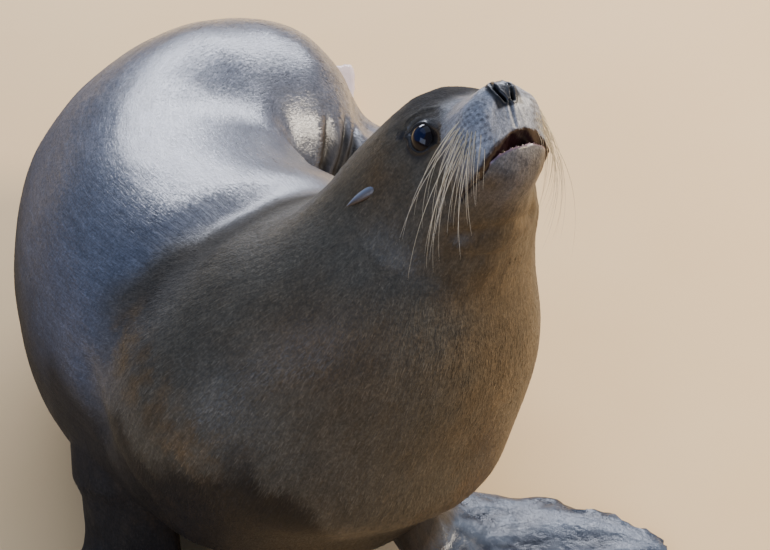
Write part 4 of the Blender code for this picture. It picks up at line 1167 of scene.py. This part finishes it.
def makeEarMaterial():  # wet thin hide with sparse hair: blue grey and shiny on top, brown where it opens
    material, tree, surface = shader("wet_ear_hide")
    place = addNode(tree, "ShaderNodeTexCoord", output="Object")
    hair, patch = (
        addNode(tree, "ShaderNodeTexNoise", {"Vector": place, "Scale": 1000 / size, "Detail": 3.0, "Roughness": 0.6})
        for size in (ear["hair"], ear["patch"])
    )
    under = addNode(tree, "ShaderNodeAttribute", output="Fac", attribute_name="underside")
    under = addNode(tree, "ShaderNodeMapRange", (under, 0.18, 0.62))
    hairShare = addNode(tree, "ShaderNodeMath", (hair, 0.45), operation="MULTIPLY")
    base = linear(ear["top"])
    for share, colour in ((patch, "topLight"), (under, "under"), (hairShare, "hairs")):
        base = addNode(tree, "ShaderNodeMix", {0: share, 6: base, 7: linear(ear[colour])}, 2, data_type="RGBA")
    rough = addNode(tree, "ShaderNodeMapRange", (hair, 0.3, 0.7, 0.28, 0.5))
    normal = addNode(tree, "ShaderNodeBump", {"Height": hair, "Distance": 0.0006, "Strength": 0.7})
    inputs = {"Base Color": base, "Roughness": rough, "Normal": normal, "Coat Weight": 0.35, "Coat Roughness": 0.25}
    setInputs(tree, surface, inputs.items())
    return material


earMaterial = makeEarMaterial()
for name, turn in (("left", 1), ("right", -1)):
    leaf = makeEar(name, turn)
    leaf.data.materials.append(earMaterial)
    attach(leaf, "root")
    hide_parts("ear_" + name)
print("stage: ears")


# Trees that set a shape on points and bend it there.
def groupTree(name, inputs):
    tree = bpy.data.node_groups.new(name, "GeometryNodeTree")
    for label, kind in inputs:
        tree.interface.new_socket(name=label, in_out="INPUT", socket_type="NodeSocket" + kind)
    tree.interface.new_socket(name="Geometry", in_out="OUTPUT", socket_type="NodeSocketGeometry")
    return tree, addNode(tree, "NodeGroupInput", output=None).outputs


def stepAlong(tree, place, steps):  # place moved along each direction by its share
    for direction, share in steps:
        step = addNode(tree, "ShaderNodeVectorMath", {0: direction, "Scale": share}, operation="SCALE")
        place = addNode(tree, "ShaderNodeVectorMath", (place, step), operation="ADD")
    return place


def shapesOn(tree, points, shape):  # one real copy of the shape's mesh on each point
    shape = addNode(tree, "GeometryNodeObjectInfo", {"Object": shape}, "Geometry")
    placed = addNode(tree, "GeometryNodeInstanceOnPoints", {"Points": points, "Instance": shape})
    return addNode(tree, "GeometryNodeRealizeInstances", {"Geometry": placed})


def runTree(thing, tree, values):
    modifier = thing.modifiers.new(tree.name, "NODES")
    modifier.node_group = tree
    for item in tree.interface.items_tree:
        if item.item_type == "SOCKET" and item.in_out == "INPUT" and item.name in values:
            modifier[item.identifier] = values[item.name]
    made = evaluated(thing)
    thing.modifiers.remove(modifier)
    shadeSmooth(made)
    return made


# Whiskers on their pits.
def whiskerTree():
    inputs = (("Pits", "Geometry"), ("Bristle", "Object"), ("Finish", "Material"))
    tree, start = groupTree("whiskers_on_pits", inputs)
    position = addNode(tree, "GeometryNodeInputPosition")
    inputs = {"Geometry": start["Pits"], "Name": "root", "Value": position}
    rooted = addNode(tree, "GeometryNodeStoreNamedAttribute", inputs, data_type="FLOAT_VECTOR")
    realized = shapesOn(tree, rooted, start["Bristle"])
    read = {
        name: addNode(tree, "GeometryNodeInputNamedAttribute", {"Name": name}, data_type="FLOAT_VECTOR")
        for name in ("bristlePlace", "root", "way", "sweep", "sideA", "sideB")
    }
    x, y, z = addNode(tree, "ShaderNodeSeparateXYZ", (read["bristlePlace"],), None).outputs
    squared = addNode(tree, "ShaderNodeMath", (z, z), operation="MULTIPLY")
    steps = ((read["way"], z), (read["sweep"], squared), (read["sideA"], x), (read["sideB"], y))
    place = stepAlong(tree, read["root"], steps)
    bent = addNode(tree, "GeometryNodeSetPosition", {"Geometry": realized, "Position": place})
    dressed = addNode(tree, "GeometryNodeSetMaterial", {"Geometry": bent, "Material": start["Finish"]})
    addNode(tree, "NodeGroupOutput", {"Geometry": dressed})
    return tree


def makeWhiskerMaterial():  # smooth horn, straw brown at the root and pale at the tip, with a dull shine
    material, tree, surface = shader("whisker_horn")
    along = addNode(tree, "ShaderNodeAttribute", output="Vector", attribute_name="bristlePlace")
    along = addNode(tree, "ShaderNodeSeparateXYZ", (along,), 2)
    tint = addNode(tree, "ShaderNodeAttribute", output="Fac", attribute_name="tint")
    base = linear(whisker["straight"])
    for share, colour in ((along, "tip"), (tint, "other")):
        base = addNode(tree, "ShaderNodeMix", {0: share, 6: base, 7: linear(whisker[colour])}, 2, data_type="RGBA")
    place = addNode(tree, "ShaderNodeTexCoord", output="Object")
    inputs = {"Vector": place, "Scale": 1000 / whisker["mottle"], "Detail": 2.0, "Roughness": 0.55}
    mottled = addNode(tree, "ShaderNodeTexNoise", inputs)
    rough = addNode(tree, "ShaderNodeMapRange", (mottled, 0.0, 1.0, 0.22, 0.40))
    normal = addNode(tree, "ShaderNodeBump", {"Height": mottled, "Distance": 0.0001, "Strength": 0.4})
    setInputs(tree, surface, {"Base Color": base, "Roughness": rough, "Normal": normal, "IOR": 1.55}.items())
    return material


rings, sides = whisker["rings"], whisker["sides"]
bristleRows = []
for ring in range(rings + 1):
    t = ring / rings
    size = (1 - 0.86 * t) * (1 if ring < rings else 0.3)
    for step in range(sides):
        angle = 2 * math.pi * step / sides
        bristleRows.append((size * math.cos(angle), size * math.sin(angle), t))
bristle = makeMesh("bristle", bristleRows, tubeFaces(rings, sides) + endFaces(rings, sides))
setAttribute(bristle.data, "bristlePlace", bristleRows, "FLOAT_VECTOR")
pitObject = makeMesh("pits", pits["place"], [])
for key in ("way", "sweep", "sideA", "sideB"):
    setAttribute(pitObject.data, key, pits[key], "FLOAT_VECTOR")
setAttribute(pitObject.data, "tint", pits["tint"])
whiskerMesh = runTree(pitObject, whiskerTree(), {"Bristle": bristle, "Finish": makeWhiskerMaterial()})
whiskers = addObject("whiskers", whiskerMesh)
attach(whiskers, "root")
for helper in (bristle, pitObject):
    bpy.data.objects.remove(helper)
print("stage: whiskers", len(whiskerMesh.polygons))

# Tufts of clumped wet fur that lie along the body, each a thin bent blade rooted in the skin.
tuft = {
    "pieces": 6, "coverage": 4.4, "seed": 31, "swing": 0.22, "lengths": (0.70, 1.35),
    "width": 0.14, "tip": (1.05, 0.026),  # in tuft lengths
    "pairs": ((0.0, 0.30, -0.03), (0.38, 0.50, 0.016), (0.74, 0.34, 0.030)),  # along, half width, height
    "patch": 0.003,  # of the OFBake map for each tuft
}


def tuftTree():
    tree, start = groupTree("tufts_on_skin", (
        ("Skin", "Geometry"), ("Blade", "Object"), ("Finish", "Material"), ("Coverage", "Float"), ("Seed", "Int"),
    ))
    kinds = {name: "FLOAT_VECTOR" for name in ("lie", "root", "outward", "tuftPlace", "bakePlace", "unwrap")}
    kinds.update({name: "FLOAT" for name in ("tuftDensity", "tuftLength", "size", "tuftTint")})
    read = {
        name: addNode(tree, "GeometryNodeInputNamedAttribute", {"Name": name}, data_type=kind)
        for name, kind in kinds.items()
    }
    density = addNode(tree, "ShaderNodeMath", (read["tuftDensity"], start["Coverage"]), operation="MULTIPLY")
    inputs = {"Mesh": start["Skin"], "Density": density, "Seed": start["Seed"]}
    scatter = addNode(tree, "GeometryNodeDistributePointsOnFaces", inputs, None, distribute_method="RANDOM")
    chance = {}
    for name, low, high, more in (
        ("swing", -tuft["swing"], tuft["swing"], 11), ("length", *tuft["lengths"], 23), ("tint", 0.0, 1.0, 37),
    ):
        inputs = {2: low, 3: high, "Seed": addNode(tree, "ShaderNodeMath", (start["Seed"], more), operation="ADD")}
        chance[name] = addNode(tree, "FunctionNodeRandomValue", inputs, 1, data_type="FLOAT")
    normal = scatter.outputs["Normal"]
    inputs = {"Vector": read["lie"], "Axis": normal, "Angle": chance["swing"]}
    turned = addNode(tree, "ShaderNodeVectorRotate", inputs)
    position = addNode(tree, "GeometryNodeInputPosition")
    size = addNode(tree, "ShaderNodeMath", (read["tuftLength"], chance["length"]), operation="MULTIPLY")
    dots = scatter.outputs["Points"]
    for name, value in (
        ("root", position), ("outward", normal), ("lie", turned), ("size", size), ("tuftTint", chance["tint"]),
    ):
        inputs = {"Geometry": dots, "Name": name, "Value": value}
        dots = addNode(tree, "GeometryNodeStoreNamedAttribute", inputs, data_type=kinds[name])
    realized = shapesOn(tree, dots, start["Blade"])
    x, y, z = addNode(tree, "ShaderNodeSeparateXYZ", (read["tuftPlace"],), None).outputs
    across = addNode(tree, "ShaderNodeVectorMath", (read["outward"], read["lie"]), operation="CROSS_PRODUCT")
    offset = stepAlong(tree, (0, 0, 0), ((read["lie"], x), (across, y), (read["outward"], z)))
    place = stepAlong(tree, read["root"], ((offset, read["size"]),))
    bent = addNode(tree, "GeometryNodeSetPosition", {"Geometry": realized, "Position": place})
    bake = stepAlong(tree, read["unwrap"], ((read["bakePlace"], tuft["patch"]),))
    inputs = {"Geometry": bent, "Name": "OFBake", "Value": bake}
    mapped = addNode(tree, "GeometryNodeStoreNamedAttribute", inputs, data_type="FLOAT2", domain="CORNER")
    dressed = addNode(tree, "GeometryNodeSetMaterial", {"Geometry": mapped, "Material": start["Finish"]})
    addNode(tree, "NodeGroupOutput", {"Geometry": dressed})
    return tree


bladeRows = [(x, turn * w * tuft["width"], z) for x, w, z in tuft["pairs"] for turn in (-1, 1)]
bladeRows.append((tuft["tip"][0], 0.0, tuft["tip"][1]))
blade = makeMesh("blade", bladeRows, [(0, 2, 3, 1), (2, 4, 5, 3), (4, 6, 5)])
setAttribute(blade.data, "tuftPlace", bladeRows, "FLOAT_VECTOR")
bakeRows = [(x - 0.5, y / tuft["width"], 0) for x, y, z in bladeRows]
setAttribute(blade.data, "bakePlace", bakeRows, "FLOAT_VECTOR")
tree, tuftMaterial = tuftTree(), makeTuftMaterial()
onlyForMaking = ("root", "outward", "lie", "size", "tuftLength", "tuftDensity", "unwrap", "bakePlace", *bareMarks)
for index in range(tuft["pieces"]):
    made = runTree(skinObject, tree, {
        "Blade": blade, "Finish": tuftMaterial, "Seed": tuft["seed"] + 100 * index,
        "Coverage": tuft["coverage"] / tuft["pieces"],
    })
    piece = addObject(f"coat_tufts_{index + 1}", made)
    for name in onlyForMaking:
        if name in made.attributes:
            made.attributes.remove(made.attributes[name])
    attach(piece, "root")
    print("stage: tufts", index + 1, len(made.polygons), made.uv_layers.keys())
bpy.data.objects.remove(blade)


# Teeth, tongue and nails keep their meshes. Sizes of their patterns are in millimetres.
teeth = {"stain": 2.5, "clean": "#e9dfc8", "stained": "#b9a47e"}
tongue = {"bud": 1.4286, "tone": 8.3333, "deep": "#8d5560", "pink": "#b98089"}
nails = {"grain": 2.0, "dark": "#2a2420", "light": "#6a5d4e"}


def makeToothMaterial():  # enamel: hard, smooth and stained yellow, so a small clear wet shine
    material, tree, surface = shader("tooth_enamel")
    place = addNode(tree, "ShaderNodeTexCoord", output="Object")
    inputs = {"Vector": place, "Scale": 1000 / teeth["stain"], "Detail": 3.0, "Roughness": 0.55}
    stain = addNode(tree, "ShaderNodeTexNoise", inputs)
    inputs = {0: stain, 6: linear(teeth["clean"]), 7: linear(teeth["stained"])}
    base = addNode(tree, "ShaderNodeMix", inputs, 2, data_type="RGBA")
    normal = addNode(tree, "ShaderNodeBump", {"Height": stain, "Distance": 0.0002, "Strength": 0.4})
    inputs = {"Base Color": base, "Roughness": 0.22, "Normal": normal, "Coat Weight": 0.6}
    setInputs(tree, surface, inputs.items())
    return material


def makeTongueMaterial():  # wet flesh with small buds: pink, uneven and shiny
    material, tree, surface = shader("wet_tongue")
    place = addNode(tree, "ShaderNodeTexCoord", output="Object")
    buds = addNode(tree, "ShaderNodeTexVoronoi", {"Vector": place, "Scale": 1000 / tongue["bud"]})
    inputs = {"Vector": place, "Scale": 1000 / tongue["tone"], "Detail": 3.0, "Roughness": 0.55}
    tone = addNode(tree, "ShaderNodeTexNoise", inputs)
    inputs = {0: tone, 6: linear(tongue["deep"]), 7: linear(tongue["pink"])}
    base = addNode(tree, "ShaderNodeMix", inputs, 2, data_type="RGBA")
    normal = addNode(tree, "ShaderNodeBump", {"Height": buds, "Distance": 0.0006, "Strength": 0.6})
    inputs = {"Base Color": base, "Roughness": 0.25, "Normal": normal, "Coat Weight": 0.7}
    setInputs(tree, surface, inputs.items())
    return material


def makeNailMaterial():  # dark horn that grows in one direction: fine grain and a dull shine
    material, tree, surface = shader("nail_horn")
    place = addNode(tree, "ShaderNodeTexCoord", output="Object")
    stretched = addNode(tree, "ShaderNodeMapping", {"Vector": place, "Scale": (1, 0.2, 1)})
    inputs = {"Vector": stretched, "Scale": 1000 / nails["grain"], "Detail": 3.0, "Roughness": 0.6}
    grain = addNode(tree, "ShaderNodeTexNoise", inputs)
    inputs = {0: grain, 6: linear(nails["dark"]), 7: linear(nails["light"])}
    base = addNode(tree, "ShaderNodeMix", inputs, 2, data_type="RGBA")
    rough = addNode(tree, "ShaderNodeMapRange", (grain, 0.0, 1.0, 0.3, 0.5))
    normal = addNode(tree, "ShaderNodeBump", {"Height": grain, "Distance": 0.0004, "Strength": 0.6})
    setInputs(tree, surface, {"Base Color": base, "Roughness": rough, "Normal": normal}.items())
    return material


better = {"lower_teeth": makeToothMaterial(), "tongue": makeTongueMaterial(), "nail": makeNailMaterial()}
for name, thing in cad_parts.items():
    key = "nail" if name.startswith("nail") else name
    if key in better:
        for slot in thing.material_slots:
            slot.material = better[key]
print("stage: teeth, tongue and nails")

# Studio: a plain pale floor, a broad low light from behind, one from the right and a soft fill.
ground = {  # reach and height in metres, pattern sizes in millimetres
    "reach": 14.0, "height": -0.0004, "cloud": 333.33, "grit": 1.6667, "warm": "#d9b582", "light": "#e0c090",
}
corners = ((-1, -1), (1, -1), (1, 1), (-1, 1))
floorRows = [(x * ground["reach"], y * ground["reach"], ground["height"]) for x, y in corners]
floor = makeMesh("floor", floorRows, [(0, 1, 2, 3)])


def makeFloorMaterial():  # matt painted floor: even, pale and faintly gritty
    material, tree, surface = shader("pale_matt_floor")
    place = addNode(tree, "ShaderNodeTexCoord", output="Object")
    cloud, grit = (
        addNode(tree, "ShaderNodeTexNoise", {
            "Vector": place, "Scale": 1000 / ground[size], "Detail": detail, "Roughness": 0.55,
        }) for size, detail in (("cloud", 4.0), ("grit", 2.0))
    )
    inputs = {0: cloud, 6: linear(ground["warm"]), 7: linear(ground["light"])}
    base = addNode(tree, "ShaderNodeMix", inputs, 2, data_type="RGBA")
    normal = addNode(tree, "ShaderNodeBump", {"Height": grit, "Distance": 0.0003, "Strength": 0.2})
    setInputs(tree, surface, {"Base Color": base, "Roughness": 0.85, "Normal": normal}.items())
    return material


floor.data.materials.append(makeFloorMaterial())

lights = {
    "behind": {"from": (0.10, 2.9, 1.60), "size": (3.4, 0.9), "power": 188, "colour": "#eef2ff"},
    "right": {"from": (2.3, 0.2, 1.7), "size": (0.8, 0.8), "power": 105, "colour": "#fff1dc"},
    "above": {"from": (-0.4, 0.6, 3.2), "size": (2.6, 2.6), "power": 24, "colour": "#d5e3fb"},
    "front": {"from": (-1.6, -2.6, 1.6), "size": (2.0, 1.6), "power": 46, "colour": "#c9d8f8"},
}
lightAim = Vector((-0.05, -0.1, 0.3))
for name, light in lights.items():
    lamp = bpy.data.lights.new(name, "AREA")
    lamp.shape, lamp.size, lamp.size_y = "RECTANGLE", *light["size"]
    lamp.energy, lamp.color = light["power"], linear(light["colour"])[:3]
    lampObject = addObject(name + "_light", lamp)
    lampObject.location = light["from"]
    lampObject.rotation_euler = (lightAim - Vector(light["from"])).to_track_quat("-Z", "Y").to_euler()
sky = {"colour": "#b4caf2", "strength": 0.46}
world = bpy.data.worlds.new("studio")
world.use_nodes = True
background = world.node_tree.nodes["Background"]
setInputs(world.node_tree, background, ((0, linear(sky["colour"])), (1, sky["strength"])))
bpy.context.scene.world = world

print("stage: studio")
